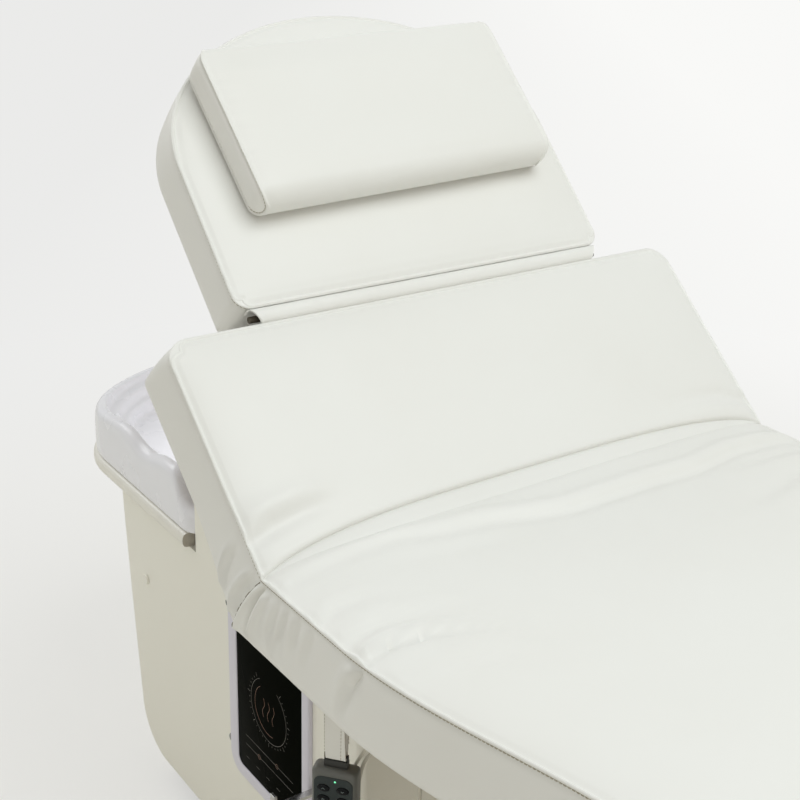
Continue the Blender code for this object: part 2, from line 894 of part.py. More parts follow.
# Strainer in the drain, and the waste pipe below it
drain_y = (bowl_foot_y + bowl_head_y) / 2
strainer_low = bowl_floor + gap
strainer = rod(
    strainer_radius, strainer_thickness, (0, drain_y, strainer_low + strainer_thickness / 2), "Z", 24
)
neck_length = bowl_wall * 0.75
neck_middle = strainer_low - neck_length / 2 + gap
neck = rod(drain_radius - strainer_thickness, neck_length, (0, drain_y, neck_middle), "Z", 20)
holes = [
    rod(
        strainer_thickness * 0.8,
        strainer_thickness * 9,
        (
            drain_radius * 0.5 * math.cos(math.tau * i / 6),
            drain_y + drain_radius * 0.5 * math.sin(math.tau * i / 6),
            strainer_low,
        ),
        "Z",
        8,
    )
    for i in range(6)
]
finish(smooth(cut(join(strainer, neck), *holes)), "basin_strainer", (0.60, 0.60, 0.62), 0.25, 1.0)


def spline_points(route, longest, most_turn):
    """Points on a smooth curve through the route's own points, closer together where it bends."""
    fine = []
    padded = [route[0] * 2 - route[1]] + route + [route[-1] * 2 - route[-2]]
    for a, b, c, d in zip(padded, padded[1:], padded[2:], padded[3:]):
        for i in range(24):
            t = i / 24
            fine.append(
                0.5
                * (
                    (b * 2)
                    + (c - a) * t
                    + (a * 2 - b * 5 + c * 4 - d) * t * t
                    + (b * 3 - a - c * 3 + d) * t * t * t
                )
            )
    fine.append(route[-1])
    chosen = [fine[0]]
    travelled = 0.0
    turned = 0.0
    for p, q, r in zip(fine, fine[1:], fine[2:]):
        travelled += (q - p).length
        turned += (q - p).angle(r - q)
        if travelled >= longest or turned >= most_turn:
            chosen.append(q)
            travelled = 0.0
            turned = 0.0
    chosen.append(fine[-1])
    return chosen


def tube(points, radius, resolution, capped):
    curve = bpy.data.curves.new("tube", "CURVE")
    curve.dimensions = "3D"
    curve.bevel_depth = radius
    curve.bevel_resolution = resolution
    curve.use_fill_caps = capped
    curve.render_resolution_u = 0
    line = curve.splines.new("POLY")
    line.points.add(len(points) - 1)
    for point, place in zip(line.points, points):
        point.co = (*place, 1)
    line.use_smooth = True
    piece = bpy.data.objects.new("tube", curve)
    tools.objects.link(piece)
    return piece


pipe_top = basin_low - gap
pipe_end = plate_top + gap
pipe_bend = pipe_radius * 2
pipe_out = head_plate_end - pipe_bend
pipe_level = plate_top + pipe_bend * 2.5
pipe_route = [Vector((0, drain_y, pipe_top)), Vector((0, drain_y, pipe_level + pipe_bend))]
pipe_route += [
    Vector((0, drain_y - pipe_bend + y, pipe_level + pipe_bend + z))
    for y, z in arc_points((0.0, 0.0), pipe_bend, 0.0, -math.pi / 2, 5)[1:]
]
pipe_route += [
    Vector((0, pipe_out + y, pipe_level - pipe_bend + z))
    for y, z in arc_points((0.0, 0.0), pipe_bend, math.pi / 2, math.pi, 5)
]
pipe_route.append(Vector((0, pipe_out - pipe_bend, pipe_end)))
pipe_curve = tube(pipe_route, pipe_radius, 2, False)
bpy.context.view_layer.update()
pipe_data = bpy.data.meshes.new_from_object(pipe_curve.evaluated_get(bpy.context.evaluated_depsgraph_get()))
bpy.data.objects.remove(pipe_curve, do_unlink=True)
finish(smooth(thick(loose(pipe_data), pipe_wall)), "waste_pipe", (0.75, 0.75, 0.75), 0.5)

# Equipment on the cabinet's floor plate
seat_on_plate = plate_top + gap
finish(
    block(tank_size, (0, tank_y, seat_on_plate + tank_size[2] / 2), bowl_wall),
    "water_tank",
    (0.70, 0.72, 0.74),
    0.4,
)
finish(
    block(control_size, (0, control_y, seat_on_plate + control_size[2] / 2), bowl_wall / 2),
    "control_box",
    DARK,
    0.5,
)
finish(
    smooth(rod(pump_radius, pump_length, (-equipment_x, equipment_y, seat_on_plate + pump_radius), "X", 20)),
    "circulation_pump",
    (0.10, 0.12, 0.16),
    0.5,
)
finish(
    smooth(
        rod(heater_radius, heater_length, (equipment_x, equipment_y, seat_on_plate + heater_radius), "X", 20)
    ),
    "water_heater",
    STEEL,
    0.3,
    1.0,
)
inlet_y = cabinet_foot_y - gap - inlet_size[1] / 2
inlet = block(inlet_size, (inlet_x, inlet_y, inlet_z), inlet_size[1] / 10)
inlet_wall = inlet_size[1] / 4
socket = block(
    (inlet_size[0] - 4 * inlet_wall, inlet_size[1], inlet_size[2] - 3 * inlet_wall),
    (inlet_x, inlet_y - inlet_wall, inlet_z),
)
finish(cut(inlet, socket), "power_inlet", DARK, 0.5)

# Touch panel on the cabinet's side
wall_x = -cabinet_half_width - gap
bezel = slab(
    rounded_outline((panel_start_y, panel_bottom), (panel_end_y, panel_top), panel_corner),
    bezel_thickness,
    "X",
    wall_x - bezel_thickness / 2,
)
window = slab(
    rounded_outline(
        (glass_start_y - gap, glass_bottom - gap), (glass_end_y + gap, glass_top + gap), glass_corner + gap
    ),
    bezel_thickness * 3,
    "X",
    wall_x,
)
screw_seats = [
    rod(screw_radius + gap, bezel_thickness * 3, (wall_x, screw_y, z), "X", 20)
    for z in (screw_low_z, screw_high_z)
]
finish(cut(bezel, window, *screw_seats), "panel_bezel", (0.64, 0.62, 0.72), 0.35)
finish(
    slab(
        rounded_outline((glass_start_y, glass_bottom), (glass_end_y, glass_top), glass_corner),
        glass_thickness,
        "X",
        wall_x - glass_thickness / 2,
    ),
    "panel_glass",
    (0.006, 0.006, 0.005),
    0.08,
)


def dome_cap(radius, height, place):
    """A low cap on the cabinet's side, drawn in towards its outer face."""
    bm = bmesh.new()
    bmesh.ops.create_cone(
        bm, cap_ends=True, segments=20, radius1=radius, radius2=radius - height / 3, depth=height
    )
    bmesh.ops.rotate(bm, cent=(0, 0, 0), matrix=Matrix.Rotation(-math.pi / 2, 3, "Y"), verts=bm.verts)
    bmesh.ops.translate(bm, vec=place, verts=bm.verts)
    return smooth(from_bmesh(bm), math.radians(20.0))


for word, z in (("lower", screw_low_z), ("upper", screw_high_z)):
    cap = dome_cap(screw_radius, screw_height, (wall_x - screw_height / 2, screw_y, z))
    finish(cap, "panel_screw_" + word, (0.78, 0.78, 0.80), 0.12, 1.0)
finish(
    dome_cap(wall_cap_radius, wall_cap_height, (wall_x - wall_cap_height / 2, wall_cap_y, wall_cap_z)),
    "wall_cap",
    SHELL,
    0.4,
)

# Hook beside the panel
hook_low = hook_z - hook_thickness
hook_tip = wall_x - hook_length
bend = hook_thickness * 1.5
hook_outline = [(wall_x, hook_low), (wall_x, hook_z)]
hook_outline += [
    (hook_tip + bend, hook_z),
    (hook_tip + hook_thickness, hook_z + bend - hook_thickness),
    (hook_tip + hook_thickness, hook_z + hook_rise),
    (hook_tip, hook_z + hook_rise),
    (hook_tip, hook_z + bend - hook_thickness),
    (hook_tip + bend / 3, hook_low + bend / 3),
    (hook_tip + bend, hook_low),
]
finish(slab(hook_outline, hook_width, "Y", hook_y), "handset_hook", (0.55, 0.55, 0.52), 0.25, 1.0)

# Back section, in its own frame: Y along the section, Z square to it
back = pivot_frame("back_pivot", (0, pivot_y, pivot_z), (back_angle, 0, 0))
back_end = pivot_drop * math.tan(back_angle / 2) + back_length
back_bottom = pivot_drop - back_depth
back_corner = board_inset * 2.4
head_rod_s = back_end + section_gap / 2
head_rod_n = pivot_drop - head_rod_drop


def back_plan(u, v):
    x, y = round_corner(u * table_width / 2, (v + 1.0) / 2 * back_end, table_width / 2, back_end, back_corner)
    return x, y


def back_ends(height):
    return height * math.tan(mitre), 0.0


finish(cushion(back_plan, 5, 5, back_bottom, pivot_drop, back_ends), "back_cushion", LEATHER, parent=back)

back_board_top = back_bottom - gap
back_board_low = back_board_top - board_thickness
back_board_start = back_board_top * math.tan(mitre) + section_gap / 8
back_board_end = back_end - board_inset
back_half = table_width / 2 - board_inset
back_board_outline = [
    (-back_half, back_board_start),
    (back_half, back_board_start),
    (back_half, back_board_end - back_corner),
    (back_half - back_corner / 4, back_board_end - back_corner / 4),
    (back_half - back_corner, back_board_end),
    (-back_half + back_corner, back_board_end),
    (-back_half + back_corner / 4, back_board_end - back_corner / 4),
    (-back_half, back_board_end - back_corner),
]
finish(
    slab(back_board_outline, board_thickness, "Z", (back_board_top + back_board_low) / 2),
    "back_board",
    (0.42, 0.30, 0.18),
    0.7,
    parent=back,
)

bracket_top = back_board_low - gap
bracket_low = bracket_top - bracket_depth
neck_end = head_rod_s - eye_wall / 2
for side, word in ((-1, "left"), (1, "right")):
    x = side * bracket_x
    bar = block(
        (bracket_thickness, neck_end, bracket_depth), (x, neck_end / 2, (bracket_top + bracket_low) / 2)
    )
    neck_start = head_rod_s - head_rod_radius * 1.3
    upright = block(
        (bracket_thickness, neck_end - neck_start, head_rod_n - bracket_low),
        (x, (neck_start + neck_end) / 2, (head_rod_n + bracket_low) / 2),
    )
    low_eye = rod(bracket_eye, bracket_thickness, (x, 0, 0), "X", 20)
    high_eye = rod(eye_radius, bracket_thickness, (x, head_rod_s, head_rod_n), "X")
    low_hole = rod(pivot_radius + turning_gap, bracket_thickness + overrun, (x, 0, 0), "X", 20)
    high_hole = rod(eye_hole, bracket_thickness + overrun, (x, head_rod_s, head_rod_n), "X")
    bracket = cut(join(bar, upright, low_eye, high_eye), low_hole, high_hole)
    finish(bracket, "back_bracket_" + word, STEEL, 0.5, 0.6, parent=back)

crossbar_span = 2 * (bracket_x - bracket_thickness / 2 - gap)
crossbar = block(
    (crossbar_span, crossbar_size, crossbar_size),
    (0, crossbar_start + crossbar_size / 2, bracket_top - crossbar_size / 2),
)
lever_outline = [
    (crossbar_start, bracket_top - crossbar_size * 0.7),
    (back_lever_s - base_eye, -back_lever_drop + base_eye / 2),
    (back_lever_s - base_eye / 2, -back_lever_drop - base_eye),
    (back_lever_s + base_eye, -back_lever_drop - base_eye),
    (crossbar_start + crossbar_size * 0.9, bracket_top - crossbar_size),
    (crossbar_start + crossbar_size * 0.9, bracket_top - crossbar_size * 0.7),
]
levers = [slab(lever_outline, fork_plate, "X", side * fork_x) for side in (-1, 1)]
lever_pin = rod(pin_radius, fork_width, (0, back_lever_s, -back_lever_drop), "X")
finish(join(crossbar, *levers, lever_pin), "back_crossbar", STEEL, 0.5, 0.6, parent=back)

# Hinge of the head section, with its leather cover
rod_reach = 0.95 * head_width
finish(
    smooth(rod(head_rod_radius, rod_reach, (0, head_rod_s, head_rod_n), "X")),
    "head_hinge_rod",
    STEEL,
    0.3,
    1.0,
    parent=back,
)
flap_inner = eye_radius + turning_gap
flap_outer = section_gap / 2 - gap
flap_start = math.radians(-28.0)
flap_finish = math.radians(212.0)
flap_outline = arc_points((head_rod_s, head_rod_n), flap_outer, flap_start, flap_finish, 14)
flap_outline += arc_points((head_rod_s, head_rod_n), flap_inner, flap_finish, flap_start, 14)
finish(smooth(slab(flap_outline, rod_reach, "X")), "hinge_flap", LEATHER, parent=back)

# Head section
head = pivot_frame("head_pivot", (0, head_rod_s, head_rod_n), (head_angle - back_angle, 0, 0), back)
head_start = section_gap / 2 + gap
head_bottom = head_rise - head_depth
arc_share = head_arc / (head_straight + head_arc)


def head_plan(u, v, inset=0.0):
    along_share = (v + 1.0) / 2
    half = head_width / 2 - inset
    straight = head_straight - inset / 2
    if along_share <= 1.0 - arc_share:
        return u * half, head_start + inset + (straight - inset) * along_share / (1.0 - arc_share)
    q = (along_share - 1.0 + arc_share) / arc_share
    size = math.hypot(u, q)
    scale = max(abs(u), q) / size if size else 0.0
    return u * scale * half, head_start + straight + q * scale * (head_arc - inset / 2)


finish(cushion(head_plan, 5, 6, head_bottom, head_rise, no_shift), "head_cushion", LEATHER, parent=head)

head_board_top = head_bottom - gap
head_board_low = head_board_top - head_board_thickness
head_board_outline = [head_plan(-1.0, -1.0, board_inset), head_plan(1.0, -1.0, board_inset)]
arc_half = head_width / 2 - board_inset
arc_long = head_arc - board_inset
head_board_outline += [
    (
        arc_half * math.cos(math.pi * i / 12),
        head_start + head_straight + arc_long * math.sin(math.pi * i / 12),
    )
    for i in range(13)
]
finish(
    slab(head_board_outline, head_board_thickness, "Z", (head_board_top + head_board_low) / 2),
    "head_board",
    (0.42, 0.30, 0.18),
    0.7,
    parent=head,
)

# Pillow
pillow_low = head_rise + crown_height + gap
pillow_middle = head_start + pillow_start + pillow_length / 2


def pillow_plan(u, v):
    x, y = round_corner(
        u * pillow_width / 2, v * pillow_length / 2, pillow_width / 2, pillow_length / 2, pillow_corner
    )
    return x, y + pillow_middle


pillow = cushion(pillow_plan, 4, 4, pillow_low, pillow_low + pillow_depth, no_shift, crown_height * 1.5)
finish(pillow, "pillow", LEATHER, parent=head)

# Hinge leaf of the head section
leaf_thickness = eye_wall * 1.5
leaf_top = head_board_low - gap
leaf_reach = section_gap * 3
leaf_x = bracket_x - section_gap * 2
knuckle_width = section_gap
leaf = block(
    (2 * leaf_x + 2 * knuckle_width, leaf_reach, leaf_thickness),
    (0, leaf_reach / 2 - head_rod_radius, leaf_top - leaf_thickness / 2),
)
leaf_parts = []
leaf_holes = []
for side in (-1, 1):
    x = side * leaf_x
    leaf_parts.append(
        block(
            (knuckle_width, head_rod_radius, -leaf_top + leaf_thickness / 2),
            (x, -head_rod_radius * 0.2, (leaf_top - leaf_thickness / 2) / 2),
        )
    )
    leaf_parts.append(rod(eye_radius, knuckle_width, (x, 0, 0), "X"))
    leaf_holes.append(rod(eye_hole, knuckle_width + overrun, (x, 0, 0), "X"))
finish(cut(join(leaf, *leaf_parts), *leaf_holes), "head_hinge_leaf", STEEL, 0.5, 0.6, parent=head)

# Leg section, in its own frame at its hinge rod
leg = pivot_frame("leg_pivot", (0, leg_hinge_y, leg_rod_z))
leg_length = foot_reach + (leg_hinge_y - crease_y)
leg_top = leg_rod_drop
leg_bottom = leg_top - seat_depth
leg_start = -section_gap / 2


def leg_half_width(y):
    share = (leg_start - y) / (leg_length + leg_start)
    return seat_half_width(leg_hinge_y) + (foot_half_width - seat_half_width(leg_hinge_y)) * share


def leg_plan(u, v):
    y = -leg_length + (leg_length + leg_start) * (v + 1.0) / 2
    half = leg_half_width(y)
    x, pulled = round_corner(u * half, min(y + leg_length - foot_corner, 0.0), half, foot_corner, foot_corner)
    return (x, pulled - leg_length + foot_corner) if y + leg_length < foot_corner else (u * half, y)


finish(cushion(leg_plan, 5, 5, leg_bottom, leg_top, no_shift), "leg_cushion", LEATHER, parent=leg)

leg_board_low = board_bottom - leg_rod_z
leg_edge = [leg_start - board_inset, -leg_length + board_inset + foot_corner]
leg_board_outline = [(leg_half_width(y) - board_inset, y) for y in leg_edge]
leg_board_outline.append((leg_half_width(-leg_length) - board_inset - foot_corner, -leg_length + board_inset))
leg_board_outline += [(-x, y) for x, y in reversed(leg_board_outline)]
finish(
    slab(leg_board_outline, board_thickness, "Z", leg_board_low + board_thickness / 2),
    "leg_board",
    (0.42, 0.30, 0.18),
    0.7,
    parent=leg,
)

finish(
    smooth(rod(head_rod_radius, 2 * (rail_x + rail_width / 2), (0, 0, 0), "X")),
    "leg_hinge_rod",
    STEEL,
    0.3,
    1.0,
    parent=leg,
)

frame_low = rail_bottom - leg_rod_z
frame_top = rail_top - leg_rod_z
frame_x = rail_x - rail_width * 1.4
frame_plate = bracket_thickness + 2 * pivot_radius / 10
frame_reach = leg_length * 0.85
frame_parts = []
frame_holes = []
for side in (-1, 1):
    x = side * frame_x
    frame_parts.append(
        block(
            (frame_plate, frame_reach - ear_near, rail_height),
            (x, -(frame_reach + ear_near) / 2, (frame_low + frame_top) / 2),
        )
    )
    frame_parts.append(
        block(
            (frame_plate, ear_far - ear_near + eye_wall, -frame_low),
            (x, -(ear_near - eye_wall + ear_far) / 2, frame_low / 2),
        )
    )
    frame_parts.append(rod(eye_radius, frame_plate, (x, 0, 0), "X"))
    frame_holes.append(rod(eye_hole, frame_plate + overrun, (x, 0, 0), "X"))
lever_y = leg_lever_y - leg_hinge_y
lever_z = leg_lever_z - leg_rod_z
leg_bar = block((2 * frame_x, crossbar_size, rail_height), (0, lever_y, (frame_low + frame_top) / 2))
tail_bar = block(
    (2 * frame_x, crossbar_size, rail_height),
    (0, -frame_reach + crossbar_size / 2, (frame_low + frame_top) / 2),
)
leg_lever_outline = [
    (lever_y - base_eye, lever_z - base_eye),
    (lever_y + base_eye, lever_z - base_eye),
    (lever_y + crossbar_size * 0.4, frame_low + rail_height / 3),
    (lever_y - crossbar_size * 0.4, frame_low + rail_height / 3),
]
frame_parts += [slab(leg_lever_outline, fork_plate, "X", side * fork_x) for side in (-1, 1)]
frame_parts.append(rod(pin_radius, fork_width, (0, lever_y, lever_z), "X"))
finish(cut(join(leg_bar, tail_bar, *frame_parts), *frame_holes), "leg_frame", STEEL, 0.5, 0.6, parent=leg)


# Linear actuators: each lies along its own frame's Y, from its base pin
def actuator(word, base_y, far_y, far_z, housing_end, bore_start, rod_start):
    facing = 1.0 if far_y > base_y else -1.0
    length = math.hypot(far_y - base_y, far_z - base_pin_z)
    tilt = facing * math.atan2(far_z - base_pin_z, abs(far_y - base_y))
    holder = pivot_frame(word + "_actuator_pin", (0, base_y, base_pin_z), (tilt, 0, 0))
    eye = rod(base_eye, rod_eye_thickness, (0, 0, 0), "X", 20)
    neck = block(
        (rod_eye_thickness, housing_start + base_eye / 2, 2 * base_eye - fork_plate),
        (0, facing * (housing_start + base_eye / 2) / 2, 0),
    )
    housing = block(
        (housing_size, housing_end - housing_start, housing_size),
        (0, facing * (housing_start + housing_end) / 2, 0),
        housing_size / 10,
    )
    motor = rod(
        housing_size * 0.42,
        housing_size * 2,
        (0, facing * (housing_start + housing_size * 1.3), -housing_size * 0.8),
        "Y",
        20,
    )
    pin_hole = rod(pin_radius + turning_gap, rod_eye_thickness + overrun, (0, 0, 0), "X")
    bore = rod(
        rod_radius + turning_gap,
        housing_end - bore_start + overrun,
        (0, facing * (housing_end + bore_start + overrun) / 2, 0),
        "Y",
        20,
    )
    body = cut(join(housing, neck, eye, motor), pin_hole, bore)
    finish(body, word + "_actuator_body", (0.12, 0.12, 0.13), 0.5, parent=holder)
    shaft = rod(rod_radius, length - rod_start, (0, facing * (length + rod_start) / 2, 0), "Y", 20)
    far_eye = rod(rod_eye, rod_eye_thickness, (0, facing * length, 0), "X", 24)
    far_hole = rod(loose_hole, 4 * rod_eye_thickness, (0, facing * length, 0), "X", 24)
    shaft = smooth(cut(join(shaft, far_eye), far_hole))
    finish(shaft, word + "_actuator_rod", (0.65, 0.65, 0.67), 0.25, 1.0, parent=holder)


back_lever_y = pivot_y + back_lever_s * math.cos(back_angle) + back_lever_drop * math.sin(back_angle)
back_lever_z = pivot_z + back_lever_s * math.sin(back_angle) - back_lever_drop * math.cos(back_angle)
actuator("back", back_base_y, back_lever_y, back_lever_z, back_housing_end, back_bore_start, back_rod_start)
actuator("leg", leg_base_y, leg_lever_y, leg_lever_z, leg_housing_end, leg_bore_start, leg_rod_start)

# Strap below the seat, its clip and the handset, in a frame at the clip's bar
bar_radius = clip_bar * 0.45
loop_radius = bar_radius + turning_gap + strap_thickness / 2
bar_z = strap_loop_z + loop_radius - strap_thickness / 2
hanger = pivot_frame("handset_pivot", (hanger_x, hanger_y, bar_z), (0, 0, hanger_angle))
strap_top = board_bottom - gap - bar_z
outside = loop_radius + strap_thickness / 2
inside = loop_radius - strap_thickness / 2
strap_outline = [(-strap_half_spread - strap_thickness / 2, strap_top)]
strap_outline += arc_points((0.0, 0.0), outside, math.pi, 2 * math.pi, 8)
strap_outline += [
    (strap_half_spread + strap_thickness / 2, strap_top),
    (strap_half_spread - strap_thickness / 2, strap_top),
]
strap_outline += arc_points((0.0, 0.0), inside, 2 * math.pi, math.pi, 8)
strap_outline.append((-strap_half_spread + strap_thickness / 2, strap_top))
finish(slab(strap_outline, strap_width, "X"), "strap", LEATHER, parent=hanger)

clip_top = -outside - turning_gap
clip_low = clip_top - 2 * clip_bar
clip_size = (clip_width - clip_wall, clip_bar * 2, clip_top - clip_low)
clip_body = block(clip_size, (0, 0, (clip_top + clip_low) / 2), clip_bar / 5)
arm_width = (clip_width - clip_wall - strap_width) / 2 - 2 * turning_gap
arm_x = (clip_width - clip_wall - arm_width) / 2
arms = [
    block(
        (arm_width, 2 * bar_radius, bar_radius - clip_low / 2),
        (side * arm_x, 0, (bar_radius + clip_low / 2) / 2),
    )
    for side in (-1, 1)
]
clip_rod = rod(bar_radius, 2 * arm_x, (0, 0, 0), "X", 12)
finish(join(clip_body, *arms, clip_rod), "strap_clip", DARK, 0.4, parent=hanger)

handset_top = clip_low - gap
handset_low = handset_top - handset_length
handset = block(
    (handset_width, handset_depth, handset_length), (0, 0, (handset_top + handset_low) / 2), handset_corner, 3
)
relief_middle = handset_low - (relief_length - handset_corner) / 2
relief = rod(relief_radius, relief_length + handset_corner, (0, 0, relief_middle), "Z", 16)
front = -handset_depth / 2


def oval(width, height, steps=16):
    return [
        (width / 2 * math.cos(math.tau * i / steps), height / 2 * math.sin(math.tau * i / steps))
        for i in range(steps)
    ]


pockets = []
button_inner = front + button_pocket - button_travel - button_clearance
button_depth = button_inner - front + button_proud
for row in range(3):
    for column in (-1, 1):
        x = column * button_column / 2
        z = handset_top - button_first_drop - row * button_row
        outline = [(px + x, pz + z) for px, pz in oval(button_width, button_height)]
        button = slab(outline, button_depth, "Y", button_inner - button_depth / 2)
        number = row * 2 + (column + 3) // 2
        finish(button, "handset_button_%d" % number, DARK, 0.5, parent=hanger)
        wide = oval(button_width + 2 * button_clearance, button_height + 2 * button_clearance)
        outline = [(px + x, pz + z) for px, pz in wide]
        pockets.append(slab(outline, 2 * button_pocket, "Y", front))
finish(smooth(cut(join(handset, relief), *pockets)), "handset", (0.16, 0.17, 0.17), 0.45, parent=hanger)

# Lead of the handset: gland, clip and the hanging lead
lead_route = [
    Vector((hanger_x + across, hanger_y + along, seat_height - drop))
    for across, along, drop in (
        (0.023, -0.037, 0.1195),
        (0.023, -0.037, 0.13),
        (0.0232, -0.0355, 0.14),
        (0.024, -0.029, 0.155),
        (0.025, -0.01, 0.185),
        (0.026, 0.008, 0.22),
        (0.029, 0.029, 0.3),
        (0.032, 0.036, 0.39),
        (0.035, 0.029, 0.47),
        (0.037, 0.003, 0.515),
        (0.039, -0.034, 0.508),
        (0.041, -0.065, 0.45),
        (0.043, -0.081, 0.34),
        (0.044, -0.087, 0.24),
        (0.044, -0.086, 0.16),
        (0.043, -0.079, 0.134),
        (0.041, -0.065, 0.1235),
        (0.038, -0.051, 0.132),
        (0.035, -0.039, 0.148),
        (0.032, -0.018, 0.18),
        (0.032, 0.001, 0.216),
        (0.032, 0.017, 0.3),
        (0.027, 0.019, 0.37),
        (0.017, 0.015, 0.418),
        (0.006, 0.007, 0.429),
        (0.0, 0.0, 0.412),
        (0.0, 0.0, 0.39),
    )
]
lead_end = bar_z + handset_low - relief_length - gap
lead_route.append(Vector((hanger_x, hanger_y, lead_end)))
lead_route[0].z = board_bottom - gap - gland_length - gap
lead_line = spline_points(lead_route, lead_radius * 14, math.radians(13.0))
finish(tube(lead_line, lead_radius, 2, True), "handset_cable", (0.75, 0.72, 0.62), 0.5)
gland = rod(
    gland_radius,
    gland_length,
    (lead_route[0].x, lead_route[0].y, board_bottom - gap - gland_length / 2),
    "Z",
    12,
)
finish(smooth(gland), "cable_gland", DARK, 0.5)
apex = max(lead_route[5:-2], key=lambda point: point.z)
lip_top = apex.z - lead_radius - 2 * gap
stem_x = apex.x + lead_radius * 2
lip_low = lip_top - lead_clip_lip
clip_stem = block(
    (lead_clip_lip, lead_radius * 2, board_bottom - gap - lip_low),
    (stem_x + lead_clip_lip / 2, apex.y, (board_bottom - gap + lip_low) / 2),
)
clip_lip = block(
    (lead_clip_lip + 4 * lead_radius, lead_radius * 2, lead_clip_lip),
    (stem_x - 2 * lead_radius + lead_clip_lip / 2, apex.y, lip_top - lead_clip_lip / 2),
)
finish(join(clip_stem, clip_lip), "cable_clip", DARK, 0.5)
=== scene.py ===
"""Electric spa table: leather sections, wash basin, cabinet and handset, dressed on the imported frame."""

import json
import math

import bmesh
import bpy
import numpy as np
from mathutils import Matrix, Vector


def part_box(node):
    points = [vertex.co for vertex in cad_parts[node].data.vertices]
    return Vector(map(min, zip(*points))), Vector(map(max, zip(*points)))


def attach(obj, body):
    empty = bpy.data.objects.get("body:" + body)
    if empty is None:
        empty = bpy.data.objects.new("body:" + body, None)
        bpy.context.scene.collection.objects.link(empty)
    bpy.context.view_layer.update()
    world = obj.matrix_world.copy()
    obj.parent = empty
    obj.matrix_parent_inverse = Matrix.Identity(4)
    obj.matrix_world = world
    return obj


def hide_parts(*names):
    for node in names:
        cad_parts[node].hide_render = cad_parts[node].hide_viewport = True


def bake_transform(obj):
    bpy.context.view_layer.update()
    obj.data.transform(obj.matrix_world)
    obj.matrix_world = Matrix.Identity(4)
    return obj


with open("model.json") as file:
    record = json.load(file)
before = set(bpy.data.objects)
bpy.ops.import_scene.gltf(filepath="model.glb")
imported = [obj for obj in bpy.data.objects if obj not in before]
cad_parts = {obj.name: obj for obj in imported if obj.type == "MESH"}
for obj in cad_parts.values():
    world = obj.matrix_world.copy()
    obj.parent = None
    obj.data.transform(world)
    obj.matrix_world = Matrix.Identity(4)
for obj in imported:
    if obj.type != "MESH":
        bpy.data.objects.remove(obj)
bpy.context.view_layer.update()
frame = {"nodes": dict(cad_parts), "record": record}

body_of = {node: body for body, nodes in frame["record"]["behaviour"]["bodies"].items() for node in nodes}

# Places that the pieces share, in metres
CREASE_Y = 0.14
SEAT_TOP = 0.64
BACK_TILT = math.radians(41.33)
HEAD_TILT = math.radians(45.10)
BACK_LENGTH = 0.285
SEAT_FOOT = -0.59
SEAT_DEPTH = 0.0926
BACK_DEPTH = 0.085
HALF_WIDTH = 0.375


# ---------------------------------------------------------------- camera, light and floor


def photo_camera():
    """The camera fitted to the photograph's edges."""
    azimuth, elevation, roll = (math.radians(a) for a in (35.5358, 22.7843, 1.6485))
    forward = Vector(
        (math.sin(azimuth) * math.cos(elevation), math.cos(azimuth) * math.cos(elevation), -math.sin(elevation))
    )
    right = Vector((math.cos(azimuth), -math.sin(azimuth), 0.0))
    up = right.cross(forward)
    across = right * math.cos(roll) + up * math.sin(roll)
    upward = up * math.cos(roll) - right * math.sin(roll)
    data = bpy.data.cameras.new("camera")
    data.sensor_width = 36.0
    data.lens = 61.083
    data.clip_end = 200.0
    camera = bpy.data.objects.new("camera", data)
    bpy.context.scene.collection.objects.link(camera)
    camera.matrix_world = Matrix.Translation((-0.9622, -0.9140, 1.3456)) @ Matrix(
        (across, upward, -forward)
    ).transposed().to_4x4()
    bpy.context.scene.camera = camera


def area_light(name, place, aim, size, power, colour):
    data = bpy.data.lights.new(name, "AREA")
    data.shape = "DISK"
    data.size = size
    data.energy = power
    data.color = colour
    lamp = bpy.data.objects.new(name, data)
    bpy.context.scene.collection.objects.link(lamp)
    lamp.matrix_world = Matrix.Translation(place) @ (
        (Vector(aim) - Vector(place)).to_track_quat("-Z", "Y").to_matrix().to_4x4()
    )


def link(tree, *pairs):
    for source, target in pairs:
        tree.links.new(source, target)


def preset(node, values):
    for name, value in values.items():
        node.inputs[name].default_value = value
    return node


def add(tree, kind, values=None, **settings):
    """A shader node with its settings and then its input values."""
    node = tree.nodes.new("ShaderNode" + kind)
    for name, setting in settings.items():
        setattr(node, name, setting)
    return preset(node, values or {})


def new_paint(name, values):
    """A material with its shader's input values."""
    made = bpy.data.materials.new(name)
    made.use_nodes = True
    return made, made.node_tree, preset(made.node_tree.nodes["Principled BSDF"], values)


